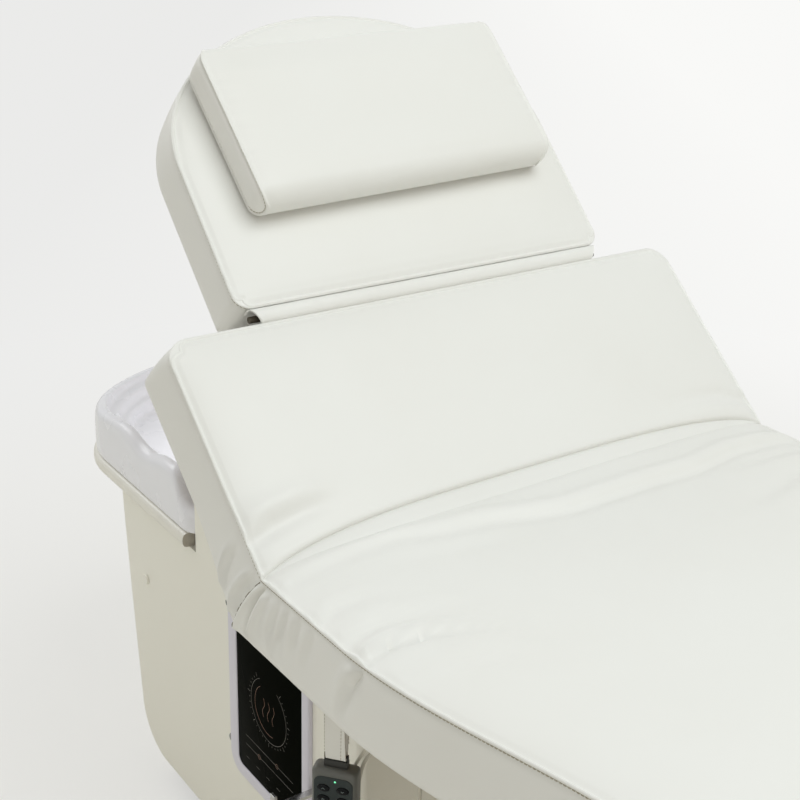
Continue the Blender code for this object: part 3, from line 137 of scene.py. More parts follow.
def studio():
    """Soft light, warmer from below, and a pale floor that fades into the backdrop; the backdrop's glow is darker
    towards one side, a painted falloff of light.
    """
    scene = bpy.context.scene
    scene.view_settings.view_transform = "Standard"
    world = bpy.data.worlds.new("studio")
    scene.world = world
    world.use_nodes = True
    tree = world.node_tree
    tree.nodes.clear()
    output = add(tree, "OutputWorld")
    blend = add(tree, "MixShader")
    fill = add(tree, "Background", {"Strength": 0.52})
    plain = add(tree, "Background", {"Color": (0.93, 0.93, 0.915, 1.0), "Strength": 1.0})
    coordinates = add(tree, "TexCoord")
    split = add(tree, "SeparateXYZ")
    height = add(tree, "MapRange", {"From Min": 0.1, "From Max": 0.8})
    tint = add(tree, "Mix", {"A": (1.0, 0.955, 0.855, 1.0), "B": (0.97, 1.0, 0.99, 1.0)}, data_type="RGBA")
    path = add(tree, "LightPath")
    seen = maths(tree, "MAXIMUM", path.outputs["Is Camera Ray"], path.outputs["Is Glossy Ray"])
    seen = maths(tree, "MAXIMUM", seen, path.outputs["Is Transmission Ray"])
    link(
        tree,
        (coordinates.outputs["Generated"], split.inputs[0]),
        (split.outputs["Z"], height.inputs["Value"]),
        (height.outputs["Result"], tint.inputs["Factor"]),
        (tint.outputs["Result"], fill.inputs["Color"]),
        (seen, blend.inputs[0]),
        (fill.outputs[0], blend.inputs[1]),
        (plain.outputs[0], blend.inputs[2]),
        (blend.outputs[0], output.inputs["Surface"]),
    )
    area_light("overhead", (0.45, -1.15, 3.4), (0.0, 0.1, 0.5), 2.2, 46.0, (0.95, 0.995, 1.0))
    area_light("side", (-2.6, -1.5, 1.3), (-0.2, 0.35, 0.45), 0.8, 3.0, (1.0, 0.96, 0.88))
    area_light("basin_fill", (-0.08, 0.72, 0.545), (-0.15, 0.93, 0.42), 0.20, 0.17, (0.97, 0.985, 1.0))
    area_light("rear", (-0.9, 2.7, 2.3), (-0.1, 0.65, 0.45), 1.6, 17.0, (0.97, 0.985, 1.0))

    bm = bmesh.new()
    bmesh.ops.create_grid(bm, x_segments=8, y_segments=8, size=40.0)
    bmesh.ops.translate(bm, vec=(0, 0, -0.0005), verts=bm.verts)
    floor = bpy.data.objects.new("floor", mesh_of(bm, "floor"))
    scene.collection.objects.link(floor)
    paint, tree, shader = new_paint(
        "floor_paint", {"Base Color": (0.89, 0.872, 0.815, 1.0), "Roughness": 1.0, "Specular IOR Level": 0.0}
    )
    glow = add(tree, "Emission", {"Strength": 1.0})
    mix = add(tree, "MixShader")
    coordinates = add(tree, "TexCoord")
    reach = add(tree, "VectorMath", operation="LENGTH")
    fade = add(tree, "MapRange", {"From Min": 0.9, "From Max": 2.6, "To Min": 0.6}, interpolation_type="SMOOTHSTEP")
    # The backdrop glow goes from darker to lighter across the view: a painted falloff of light on the backdrop.
    across = add(tree, "VectorMath", {1: (0.814, -0.581, 0.0)}, operation="DOT_PRODUCT")
    side = add(tree, "MapRange", {"From Min": -1.6, "From Max": 1.4})
    backdrop = add(tree, "Mix", {"A": (0.83, 0.83, 0.82, 1.0), "B": (0.945, 0.945, 0.93, 1.0)}, data_type="RGBA")
    seen = maths(tree, "MULTIPLY", fade.outputs["Result"], add(tree, "LightPath").outputs["Is Camera Ray"])
    link(
        tree,
        (coordinates.outputs["Object"], reach.inputs[0]),
        (coordinates.outputs["Object"], across.inputs[0]),
        (across.outputs["Value"], side.inputs["Value"]),
        (side.outputs["Result"], backdrop.inputs["Factor"]),
        (backdrop.outputs["Result"], glow.inputs["Color"]),
        (reach.outputs["Value"], fade.inputs["Value"]),
        (seen, mix.inputs[0]),
        (shader.outputs[0], mix.inputs[1]),
        (glow.outputs[0], mix.inputs[2]),
        (mix.outputs[0], tree.nodes["Material Output"].inputs["Surface"]),
    )
    floor.data.materials.append(paint)


# ---------------------------------------------------------------- shared effects and finishes


def effect(name, inputs, output):
    """An empty node group with named sockets, given and returned as (kind, name)."""
    tree = bpy.data.node_groups.new(name, "ShaderNodeTree")
    for kind, label in inputs:
        tree.interface.new_socket(label, in_out="INPUT", socket_type="NodeSocket" + kind)
    tree.interface.new_socket(output[1], in_out="OUTPUT", socket_type="NodeSocket" + output[0])
    return tree, tree.nodes.new("NodeGroupInput").outputs, tree.nodes.new("NodeGroupOutput").inputs[0]


def feed(tree, socket, value):
    """Link a socket to another one, or give it a plain value."""
    if isinstance(value, bpy.types.NodeSocket):
        tree.links.new(value, socket)
    else:
        socket.default_value = value


def maths(tree, operation, first, second):
    node = add(tree, "Math", operation=operation)
    feed(tree, node.inputs[0], first)
    feed(tree, node.inputs[1], second)
    return node.outputs[0]


def scaled(tree, vector, factor):
    node = add(tree, "VectorMath", operation="MULTIPLY")
    feed(tree, node.inputs[0], vector)
    feed(tree, node.inputs[1], factor)
    return node.outputs[0]


def noise_of(tree, vector, scale, detail):
    node = add(tree, "TexNoise", {"Detail": detail})
    feed(tree, node.inputs["Vector"], vector)
    feed(tree, node.inputs["Scale"], scale)
    return node.outputs["Fac"]


def make_drift():
    """Slow colour change over a surface."""
    tree, given, result = effect(
        "colour_drift",
        (("Vector", "Vector"), ("Float", "Scale"), ("Color", "Main"), ("Color", "Second")),
        ("Color", "Color"),
    )
    mask = add(tree, "MapRange", {"From Min": 0.35, "From Max": 0.68})
    mix = add(tree, "Mix", data_type="RGBA")
    link(
        tree,
        (noise_of(tree, given["Vector"], given["Scale"], 4.0), mask.inputs["Value"]),
        (mask.outputs["Result"], mix.inputs["Factor"]),
        (given["Main"], mix.inputs["A"]),
        (given["Second"], mix.inputs["B"]),
        (mix.outputs["Result"], result),
    )
    return tree


def make_pebble():
    """Fine pebbled grain of coated leather, with soft creases between the pebbles."""
    tree, given, result = effect("leather_pebble", (("Vector", "Vector"), ("Float", "Scale")), ("Float", "Height"))
    cells = add(tree, "TexVoronoi", feature="SMOOTH_F1")
    link(tree, (given["Vector"], cells.inputs["Vector"]), (given["Scale"], cells.inputs["Scale"]))
    broad = noise_of(tree, given["Vector"], maths(tree, "MULTIPLY", given["Scale"], 0.12), 2.0)
    dome = maths(tree, "SUBTRACT", 1.0, cells.outputs["Distance"])
    link(tree, (maths(tree, "ADD", maths(tree, "MULTIPLY", dome, 0.6), broad), result))
    return tree


def make_peel():
    """Slight waviness of sprayed or moulded surfaces."""
    tree, given, result = effect("surface_peel", (("Vector", "Vector"), ("Float", "Scale")), ("Float", "Height"))
    link(tree, (noise_of(tree, given["Vector"], given["Scale"], 2.0), result))
    return tree


def make_brushed():
    """Fine lines that run along one direction."""
    tree, given, result = effect("brushed_lines", (("Vector", "Vector"), ("Vector", "Stretch")), ("Float", "Height"))
    link(tree, (noise_of(tree, scaled(tree, given["Vector"], given["Stretch"]), 1.0, 2.0), result))
    return tree


DRIFT = make_drift()
PEBBLE = make_pebble()
PEEL = make_peel()
BRUSHED = make_brushed()


def finish_of(
    name, main, second, roughness, spread=0.08, metallic=0.0, drift=5.0, relief=PEEL, scale=220.0, depth=0.00002,
    coat=0.0, sheen=0.0, glare=0.5
):
    """A material: drifting colour, uneven gloss and a fine relief, on object coordinates."""
    made, tree, shader = new_paint(name, {"Metallic": metallic, "Specular IOR Level": glare})
    if coat:
        preset(shader, {"Coat Weight": coat, "Coat Roughness": 0.08})
    if sheen:
        preset(shader, {"Sheen Weight": sheen, "Sheen Roughness": 0.4})
    place = add(tree, "TexCoord").outputs["Object"]
    colour = add(tree, "Group", node_tree=DRIFT)
    preset(colour, {"Scale": drift, "Main": (*main, 1.0), "Second": (*second, 1.0)})
    gloss = add(tree, "MapRange", {"To Min": roughness - spread / 2, "To Max": roughness + spread / 2})
    height = add(tree, "Group", {"Stretch" if relief is BRUSHED else "Scale": scale}, node_tree=relief)
    bump = add(tree, "Bump", {"Strength": 1.0, "Distance": depth})
    link(
        tree,
        (place, colour.inputs["Vector"]),
        (place, height.inputs["Vector"]),
        (colour.outputs["Color"], shader.inputs["Base Color"]),
        (noise_of(tree, place, drift * 7.0, 4.0), gloss.inputs["Value"]),
        (gloss.outputs["Result"], shader.inputs["Roughness"]),
        (height.outputs["Height"], bump.inputs["Height"]),
        (bump.outputs["Normal"], shader.inputs["Normal"]),
    )
    return made


LEATHER = finish_of(
    "cream_leather", (0.825, 0.818, 0.783), (0.81, 0.80, 0.76), 0.47, 0.10, drift=4.0, relief=PEBBLE, scale=950.0,
    depth=0.00005, sheen=0.08
)
# Stitch thread: its own colour, made darker as painted shade of the small groove the stitches sit in.
THREAD_AND_GROOVE_SHADE = finish_of("seam_thread_and_painted_groove_shade", (0.46, 0.43, 0.35), (0.38, 0.35, 0.27), 0.65, drift=90.0, scale=2500.0, glare=0.2)
# Seam thread down the mitre, coloured much darker than the other stitches as painted shade of the crevice between the
# sections.
MITRE_SEAM_AND_SHADE = finish_of("mitre_seam_and_painted_shade", (0.29, 0.265, 0.21), (0.23, 0.21, 0.165), 0.75, drift=90.0, scale=2500.0,
                       glare=0.1)
SHELL = finish_of("cabinet_lacquer", (0.885, 0.865, 0.78), (0.87, 0.85, 0.765), 0.38, 0.06, drift=3.0, scale=160.0)
TRIM = finish_of("trim_lacquer", (0.83, 0.81, 0.74), (0.815, 0.795, 0.725), 0.30, 0.06, drift=3.0, scale=160.0)
# Darker colour for the trim band's cut ends: painted shade of the faces turned towards the foot.
TRIM_END_SHADE = finish_of("trim_end_painted_shade", (0.50, 0.46, 0.39), (0.43, 0.40, 0.34), 0.7, drift=60.0, scale=900.0, depth=0.0001)
BASIN = finish_of(
    "basin_acrylic", (0.88, 0.88, 0.925), (0.87, 0.87, 0.915), 0.27, 0.05, drift=2.5, scale=60.0, coat=0.12
)
BEZEL = finish_of("bezel_plastic", (0.71, 0.69, 0.77), (0.69, 0.67, 0.75), 0.30, 0.06, scale=400.0)
GLASS = finish_of("touch_glass", (0.0028, 0.0034, 0.0022), (0.004, 0.0044, 0.003), 0.22, 0.04, scale=30.0,
                  glare=0.003)
CHROME = finish_of(
    "polished_chrome", (0.80, 0.80, 0.81), (0.74, 0.74, 0.75), 0.12, 0.06, 1.0, 30.0, scale=500.0, depth=0.00001
)
CAP_CHROME = finish_of("cap_chrome", (0.34, 0.34, 0.35), (0.26, 0.26, 0.27), 0.10, 0.06, 1.0, 30.0, scale=500.0,
                       depth=0.00001, glare=0.6)
HOOK_STEEL = finish_of(
    "brushed_hook", (0.55, 0.55, 0.54), (0.45, 0.45, 0.44), 0.26, 0.10, 1.0, 40.0, BRUSHED, (20.0, 2500.0, 2500.0),
    0.00002
)
BRIGHT = finish_of(
    "ground_steel", (0.66, 0.66, 0.67), (0.56, 0.56, 0.57), 0.25, 0.12, 1.0, 25.0, BRUSHED, (12.0, 1500.0, 1500.0),
    0.00002
)
ROD_STEEL = finish_of(
    "piston_steel", (0.70, 0.70, 0.71), (0.62, 0.62, 0.63), 0.18, 0.08, 1.0, 25.0, BRUSHED, (1500.0, 10.0, 1500.0),
    0.00001
)
STEEL = finish_of(
    "frame_paint", (0.40, 0.40, 0.405), (0.34, 0.34, 0.345), 0.42, 0.14, 0.0, 9.0, scale=420.0, depth=0.00006
)
DARK = finish_of("dark_plastic", (0.036, 0.037, 0.034), (0.05, 0.05, 0.047), 0.46, 0.12, drift=14.0, scale=900.0,
                 depth=0.00004, glare=0.25)
GREY = finish_of("grey_plastic", (0.150, 0.152, 0.140), (0.130, 0.133, 0.122), 0.36, 0.08, drift=14.0, scale=1400.0,
                 depth=0.00003, glare=0.3)
FACE = finish_of("handset_face", (0.038, 0.047, 0.047), (0.032, 0.040, 0.040), 0.34, 0.08, drift=20.0, scale=1400.0,
                 depth=0.00002, glare=0.15)
# Dark brown for the head section's hinge rod: painted shade, so the rod's end inside the flap's arch reads as a
# shadowed opening.
HINGE_ROD_SHADE = finish_of("hinge_rod_painted_shade", (0.085, 0.070, 0.048), (0.065, 0.054, 0.036), 0.55, 0.1, drift=20.0,
                        scale=600.0, glare=0.3)
PIPE = finish_of("pipe_plastic", (0.55, 0.55, 0.55), (0.48, 0.48, 0.48), 0.40, 0.10, drift=10.0, scale=500.0)
TANK = finish_of("tank_plastic", (0.66, 0.68, 0.70), (0.60, 0.62, 0.64), 0.34, 0.08, drift=7.0, scale=300.0)
PUMP = finish_of("pump_plastic", (0.06, 0.08, 0.12), (0.08, 0.10, 0.14), 0.42, 0.10, drift=14.0, scale=800.0)
RUBBER = finish_of("black_rubber", (0.03, 0.03, 0.032), (0.045, 0.045, 0.046), 0.72, 0.14, drift=30.0, scale=1500.0,
                   depth=0.00006)
KEY = finish_of("key_rubber", (0.006, 0.007, 0.008), (0.010, 0.011, 0.012), 0.22, 0.06, drift=60.0, scale=3000.0,
                glare=0.09)
CORD = finish_of("cord_skin", (0.62, 0.59, 0.50), (0.56, 0.53, 0.45), 0.42, 0.10, drift=20.0, scale=1800.0)
PRINT = finish_of("glass_print", (0.20, 0.19, 0.17), (0.16, 0.15, 0.13), 0.5, 0.05, drift=90.0, scale=900.0)
PRINT_WARM = finish_of("glass_print_warm", (0.30, 0.17, 0.12), (0.24, 0.13, 0.09), 0.5, 0.05, drift=90.0, scale=900.0)
MARK = finish_of("key_mark", (0.35, 0.42, 0.42), (0.30, 0.36, 0.36), 0.5, 0.05, drift=90.0, scale=900.0)


def make_plywood():
    """Birch plywood: long grain on the faces and thin dark layers on the edges."""
    made = finish_of(
        "birch_plywood", (0.52, 0.38, 0.23), (0.44, 0.31, 0.18), 0.62, 0.12, drift=8.0, relief=BRUSHED,
        scale=(8.0, 260.0, 260.0), depth=0.00008
    )
    tree = made.node_tree
    base = tree.nodes["Principled BSDF"].inputs["Base Color"]
    darker = add(tree, "Mix", {"B": (0.70, 0.60, 0.48, 1.0)}, data_type="RGBA", blend_type="MULTIPLY")
    layers = scaled(tree, add(tree, "TexCoord").outputs["Object"], (34.0, 2.2, 34.0))
    colour = base.links[0].from_socket
    link(tree, (noise_of(tree, layers, 1.0, 5.0), darker.inputs["Factor"]), (colour, darker.inputs["A"]))
    link(tree, (darker.outputs["Result"], base))
    return made


PLYWOOD = make_plywood()


# ---------------------------------------------------------------- making pieces


def made_piece(data, name, material, body=None, node=None, sharp=35.0):
    piece = bpy.data.objects.new(name, data)
    bpy.context.scene.collection.objects.link(piece)
    data.name = name
    data.materials.clear()
    data.materials.append(material)
    data.shade_smooth()
    data.set_sharp_from_angle(angle=math.radians(sharp))
    if node:
        for one in node if isinstance(node, tuple) else (node,):
            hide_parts(one)
    if body:
        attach(piece, body)
    return piece


def mesh_of(bm, name):
    data = bpy.data.meshes.new(name)
    bm.to_mesh(data)
    bm.free()
    return data


def bevel_edges(piece, width, segments, angle):
    modifier = piece.modifiers.new("edges", "BEVEL")
    modifier.width = width
    modifier.segments = segments
    modifier.limit_method = "ANGLE"
    modifier.angle_limit = math.radians(angle)
    modifier.harden_normals = True
    return piece


def refined(node, material, width, segments, angle=30.0):
    """A copy of a CAD node with broken edges, in its place."""
    bm = bmesh.new()
    bm.from_mesh(frame["nodes"][node].data)
    bmesh.ops.remove_doubles(bm, verts=bm.verts[:], dist=0.00001)
    bmesh.ops.dissolve_limit(bm, angle_limit=math.radians(0.6), verts=bm.verts[:], edges=bm.edges[:])
    piece = made_piece(mesh_of(bm, node), node + "_fine", material, body_of[node], node, sharp=angle)
    return bevel_edges(piece, width, segments, angle)


def threads(name, runs, radius, material, body, sides=1):
    """Short stitches or thin lines: one small round spline for each run of points, kept as a mesh."""
    curve = bpy.data.curves.new(name, "CURVE")
    curve.dimensions = "3D"
    curve.bevel_depth = radius
    curve.bevel_resolution = sides
    curve.use_fill_caps = True
    curve.render_resolution_u = 0
    for run in runs:
        spline = curve.splines.new("POLY")
        spline.points.add(len(run) - 1)
        for point, place in zip(spline.points, run):
            point.co = (*place, 1.0)
    holder = bpy.data.objects.new(name, curve)
    bpy.context.scene.collection.objects.link(holder)
    bpy.context.view_layer.update()
    data = bpy.data.meshes.new_from_object(holder.evaluated_get(bpy.context.evaluated_depsgraph_get()))
    bpy.data.objects.remove(holder, do_unlink=True)
    return made_piece(data, name, material, body, None, sharp=80.0)


def ring_loft(rings, ends="capped"):
    """A skin through rings of equally many points: capped at both ends, joined end to end, or open."""
    bm = bmesh.new()
    bmesh.ops.create_circle(bm, cap_ends=ends == "capped", segments=len(rings[0]), radius=1.0)
    bm.verts.ensure_lookup_table()
    current = list(bm.verts)
    for vert, point in zip(current, rings[0]):
        vert.co = point
    edges = bm.edges[:]
    for ring in rings[1:]:
        made = bmesh.ops.extrude_edge_only(bm, edges=edges)["geom"]
        fresh = {item for item in made if isinstance(item, bmesh.types.BMVert)}
        edges = [item for item in made if isinstance(item, bmesh.types.BMEdge) and set(item.verts) <= fresh]
        current = [next(e.other_vert(v) for e in v.link_edges if e.other_vert(v) in fresh) for v in current]
        for vert, point in zip(current, ring):
            vert.co = point
    if ends == "capped":
        bmesh.ops.edgeloop_fill(bm, edges=edges)
    elif ends == "joined":
        bmesh.ops.remove_doubles(bm, verts=bm.verts[:], dist=0.000001)
    bmesh.ops.recalc_face_normals(bm, faces=bm.faces[:])
    if ends != "open" and bm.calc_volume(signed=True) < 0:
        bmesh.ops.reverse_faces(bm, faces=bm.faces[:])
    return bm


def lofted(rings, name, material, body, node, sharp, ends="capped"):
    """A piece with a skin through rings."""
    return made_piece(mesh_of(ring_loft(rings, ends), name), name, material, body, node, sharp)


def quarter(u, v, radius, half_turns, steps, last=1):
    """Points round a quarter circle that starts at an angle in half turns; last=1 takes its end in."""
    turns = [math.pi * half_turns + math.pi / 2 * i / steps for i in range(steps + last)]
    return [(u + radius * math.cos(turn), v + radius * math.sin(turn)) for turn in turns]


def full_turn(count):
    return [math.tau * i / count for i in range(count)]


def rounded_rectangle(low, high, radius, steps):
    """Points of a rectangle with round corners, counter-clockwise."""
    points = []
    for right, upper, half_turns in ((1, 1, 0.0), (0, 1, 0.5), (0, 0, 1.0), (1, 0, 1.5)):
        u = high[0] - radius if right else low[0] + radius
        v = high[1] - radius if upper else low[1] + radius
        points += quarter(u, v, radius, half_turns, steps)
    return points


# ---------------------------------------------------------------- upholstery

# Levels of a padded side: depth below the seam, and how far out of the plan each lies
LEVEL_DEPTHS = np.array(
    [0.0, 0.0012, 0.0024, 0.0036, 0.0046, 0.0056, 0.0075, 0.011, 0.018, 0.030, 0.045, 0.060, 0.073, 0.084, 0.0905,
     0.0926]
)
LEVEL_OUT = np.array(
    [-0.0012, -0.0002, 0.0001, -0.0006, -0.0021, -0.0033, -0.0022, -0.0006, 0.0003, 0.0008, 0.0010, 0.0009, 0.0006,
     0.0003, 0.0, -0.0022]
)
STITCH_DEPTH = 0.0058
STITCH_LIFT = 0.0009
STITCH_PITCH = 0.0044
ROLL_DEPTH = 0.011
END_ZONE = 0.05
NARROW_CROWN = 0.008


def depths_for(thickness):
    """The levels of a side of another thickness: those of the rolled seam stay, the rest are drawn out."""
    below = LEVEL_DEPTHS - ROLL_DEPTH
    return np.where(below <= 0.0, LEVEL_DEPTHS, ROLL_DEPTH + below * (thickness - ROLL_DEPTH) / below[-1])


def drawn_in(share, pull=0.85):
    """Rows spread over a length, closer together at both ends."""
    return share - pull * np.sin(2 * np.pi * share) / (2 * np.pi)


def spread(place):
    """Places from -1 to 1, closer together at both ends."""
    return 2.0 * drawn_in((place + 1.0) / 2.0) - 1.0


def eased(value):
    value = np.clip(value, 0.0, 1.0)
    return value * value * (3 - 2 * value)


def into_corner(x, y, half_x, half_y, radius):
    """Pull points of a rectangle's plan into its round corners."""
    deep_x = np.abs(x) - (half_x - radius)
    deep_y = np.abs(y) - (half_y - radius)
    both = (deep_x > 0) & (deep_y > 0)
    far = np.maximum(deep_x, deep_y)
    share = np.where(both, far / np.maximum(np.hypot(deep_x, deep_y), 1e-9), 1.0)
    return (
        np.where(both, np.sign(x) * (half_x - radius + deep_x * share), x),
        np.where(both, np.sign(y) * (half_y - radius + deep_y * share), y),
    )


def edge_distance(to_side, to_end, radius):
    """How far inside the plan's edge a place lies, with round corners."""
    corner = (to_side < radius) & (to_end < radius)
    round_one = radius - np.hypot(radius - to_side, radius - to_end)
    return np.maximum(np.where(corner, round_one, np.minimum(to_side, to_end)), 0.0)


def edge_roll(distance):
    """Height of the top panel's turned edge: a narrow rolled ridge at the seam and a shallow dip beside it."""
    return np.interp(
        distance, [0.0, 0.0008, 0.0018, 0.0034, 0.0055, 0.010], [-0.0010, -0.0001, 0.0, -0.0009, -0.0008, 0.0]
    )


def swell(distance, reach=0.030):
    """Rise of the padding from 0 at the edge to 1."""
    return 1.0 - np.exp(-np.maximum(distance - 0.004, 0.0) / reach)


WAVES = np.random.RandomState(7).uniform(-1, 1, (14, 4))


def undulation(x, y, size, first=0):
    """Smooth uneven swelling, from a few crossed waves."""
    total = np.zeros_like(x)
    for a, b, c, d in WAVES[first : first + 7]:
        total += np.sin((a * x + b * y) * 6.0 / size + c * 9.0) * (0.6 + 0.4 * d)
    return total / 3.5


def puckers(along, distance, reach=0.012):
    """Small gathers beside a seam."""
    wave = np.sin(along * 390.0 + 1.3 * np.sin(along * 57.0))
    wave = wave + 0.6 * np.sin(along * 233.0 + 2.0 * np.sin(along * 31.0))
    gate = eased(0.5 + 0.8 * np.sin(along * 23.0 + 1.1))
    return wave * gate * np.exp(-distance / reach) * (1.0 - np.exp(-distance / 0.002))


def folds(x, y, lines):
    """Summed depth of valleys along lines of (x, y, strength), each with a ridge beside it on its left."""
    total = np.zeros_like(x)
    for width, height, ridge, ridge_offset, ridge_width, *line in lines:
        best = np.full_like(x, 1e9)
        side = np.zeros_like(x)
        power = np.zeros_like(x)
        for (ax, ay, aw), (bx, by, bw) in zip(line, line[1:]):
            dx, dy = bx - ax, by - ay
            t = np.clip(((x - ax) * dx + (y - ay) * dy) / (dx * dx + dy * dy), 0.0, 1.0)
            away = np.hypot(x - ax - dx * t, y - ay - dy * t)
            nearer = away < best
            best = np.where(nearer, away, best)
            side = np.where(nearer, np.sign(dx * (y - ay) - dy * (x - ax)), side)
            power = np.where(nearer, aw + (bw - aw) * t, power)
        signed = best * side
        valley = height * np.exp(-((signed / width) ** 2))
        total = total + (ridge * np.exp(-(((signed - ridge_offset) / ridge_width) ** 2)) - valley) * power
    return total


def stuffed(name, columns, rows, place, thickness, nodes, body=None, split=None):
    """A padded body. place(u, v, depth) gives its skin for u and v from -1 to 1 and a depth below the seam."""
    bm = bmesh.new()
    bmesh.ops.create_grid(bm, x_segments=columns, y_segments=rows, size=1.0)
    made = bmesh.ops.extrude_face_region(bm, geom=bm.faces[:], use_keep_orig=True)["geom"]
    for vert in [item for item in made if isinstance(item, bmesh.types.BMVert)]:
        vert.co.z = -1.0
    under = [item for item in made if isinstance(item, bmesh.types.BMFace)]
    halves = [under] if split is None else [
        [face for face in under if face.calc_center_median().y < split],
        [face for face in under if face.calc_center_median().y > split],
    ]
    for half in halves:
        bmesh.ops.dissolve_faces(bm, faces=half)
    sides = [edge for edge in bm.edges if abs(edge.verts[0].co.z - edge.verts[1].co.z) > 0.5]
    bmesh.ops.subdivide_edges(bm, edges=sides, cuts=len(LEVEL_DEPTHS) - 2, use_grid_fill=True)
    bmesh.ops.recalc_face_normals(bm, faces=bm.faces[:])
    data = mesh_of(bm, name)
    spots = np.zeros(len(data.vertices) * 3)
    data.vertices.foreach_get("co", spots)
    spots = spots.reshape(-1, 3)
    level = np.rint(-spots[:, 2] * (len(LEVEL_DEPTHS) - 1)).astype(int)
    depth = depths_for(thickness)[level]
    data.vertices.foreach_set("co", place(spots[:, 0], spots[:, 1], depth).ravel())
    data.update()
    piece = made_piece(data, name, LEATHER, None, nodes, 75.0)
    if body:
        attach(piece, body)
    return piece


AROUND = ((-1, -1), (-1, 1), (1, 1), (1, -1), (-1, -1))


def outline_walk(corners, each):
    """Dense (u, v) places from corner to corner of a plan."""
    walk = []
    for (ua, va), (ub, vb) in zip(corners, corners[1:]):
        for i in range(each):
            walk.append((ua + (ub - ua) * i / each, va + (vb - va) * i / each))
    walk.append(corners[-1])
    return np.array(walk)


def run_lengths(line):
    """How far along a line each of its points lies."""
    return np.concatenate([[0.0], np.cumsum(np.linalg.norm(np.diff(line, axis=0), axis=1))])


def thread_runs(line, proud):
    """Short stitches along a line, each dipping into the leather at both ends."""
    steps = run_lengths(line)
    count = int(steps[-1] / STITCH_PITCH)
    runs = []
    for i in range(count):
        where = (i + np.array([0.12, 0.3, 0.5, 0.7, 0.88])) * steps[-1] / count
        spots = np.stack([np.interp(where, steps, proud[:, k]) for k in range(3)], axis=1)
        low = np.stack([np.interp(where, steps, line[:, k]) for k in range(3)], axis=1)
        spots[0] = low[0] * 1.6 - spots[0] * 0.6
        spots[-1] = low[-1] * 1.6 - spots[-1] * 0.6
        runs.append([tuple(spot) for spot in spots])
    return runs


def stitches(name, place, walk, body):
    """Thread stitches on the side panel, just below the rolled seam."""
    depth = np.full(len(walk), STITCH_DEPTH)
    line, proud = (place(walk[:, 0], walk[:, 1], depth, lift) for lift in (0.0, STITCH_LIFT))
    return threads(name, thread_runs(line, proud), 0.00075, THREAD_AND_GROOVE_SHADE, body)


def out_at(depth, thickness):
    """How far out of the plan a padded side lies at a depth."""
    return np.interp(depth, depths_for(thickness), LEVEL_OUT)


# Seat and back: one cover that runs over the joint

SKIN_COLUMNS = 170
SKIN_ROWS = 220
SEAT_ROWS = 126
LIP_ROWS = 18
JOIN_V = -1.0 + 2.0 * SEAT_ROWS / SKIN_ROWS
LIP_SHARE = LIP_ROWS / (SKIN_ROWS - SEAT_ROWS)
FOLD_GAIN = 2.0
SIDE_GAIN = 1.9
CROWN = 0.0105
JOIN_RISE = 0.009
CREASE_FOOT, CREASE_REACH, CREASE_HALF = 0.0008, 0.0315, 0.377
WAIST_START, WAIST_RUN, WAIST_PULL = -0.14, 0.42, 0.067

# Folds: width, depth, ridge, ridge's distance and width, then the line's points.
# Lines on the seat as (x, y from the crease, strength)
SEAT_FOLDS = (
    (0.01, 0.0026, 0.003, 0.016, 0.011, (-0.385, -0.05, 0.35), (-0.355, -0.034, 0.5), (-0.275, -0.029, 0.5),
     (-0.226, -0.028, 0.55), (-0.177, -0.04, 0.6), (-0.119, -0.044, 0.75), (-0.066, -0.058, 0.9),
     (-0.014, -0.067, 1.0), (0.109, -0.066, 1.0), (0.18, -0.069, 1.0), (0.256, -0.059, 1.0), (0.335, -0.062, 0.9),
     (0.375, -0.07, 0.4)),
    (0.0055, 0.004, 0.0042, 0.013, 0.01, (-0.378, -0.187, 1.0), (-0.359, -0.181, 1.0), (-0.337, -0.179, 1.0),
     (-0.315, -0.183, 0.85), (-0.29, -0.191, 0.7), (-0.263, -0.202, 0.5), (-0.239, -0.217, 0.35),
     (-0.216, -0.235, 0.2), (-0.199, -0.252, 0.0)),
    (0.011, 0.0016, 0.0014, 0.022, 0.014, (-0.349, -0.232, 0.5), (-0.303, -0.244, 1.0), (-0.267, -0.253, 0.7),
     (-0.234, -0.266, 0.0)),
    (0.009, 0.002, 0.0016, 0.016, 0.011, (-0.37, -0.104, 0.8), (-0.346, -0.096, 1.0), (-0.315, -0.095, 0.7),
     (-0.281, -0.112, 0.0)),
    (0.01, 0.0018, 0.0015, 0.018, 0.012, (-0.365, -0.146, 0.8), (-0.324, -0.141, 1.0), (-0.286, -0.15, 0.8),
     (-0.241, -0.162, 0.4), (-0.188, -0.183, 0.0)),
    (0.013, 0.0022, 0.0018, 0.022, 0.015, (0.375, -0.096, 0.8), (0.34, -0.115, 1.0), (0.286, -0.136, 0.9),
     (0.193, -0.159, 0.5), (0.135, -0.156, 0.0)),
    (0.01, 0.0014, 0.0012, 0.016, 0.011, (0.375, -0.09, 0.3), (0.326, -0.088, 0.9), (0.26, -0.086, 0.8),
     (0.197, -0.084, 0.0)),
    (0.012, 0.0012, 0.001, 0.018, 0.012, (-0.3, -0.05, 0.0), (-0.24, -0.062, 0.6), (-0.16, -0.075, 0.6),
     (-0.08, -0.09, 0.0)),
)
# Lines on the back as (x, distance up from the crease, strength)
BACK_FOLDS = (
    (0.011, 0.003, 0.0026, 0.02, 0.014, (-0.372, 0.04, 0.9), (-0.34, 0.05, 1.0), (-0.3, 0.056, 0.7),
     (-0.25, 0.058, 0.0)),
    (0.011, 0.0024, 0.002, 0.02, 0.014, (0.372, 0.034, 0.7), (0.33, 0.052, 1.0), (0.28, 0.058, 0.6),
     (0.21, 0.06, 0.0)),
)
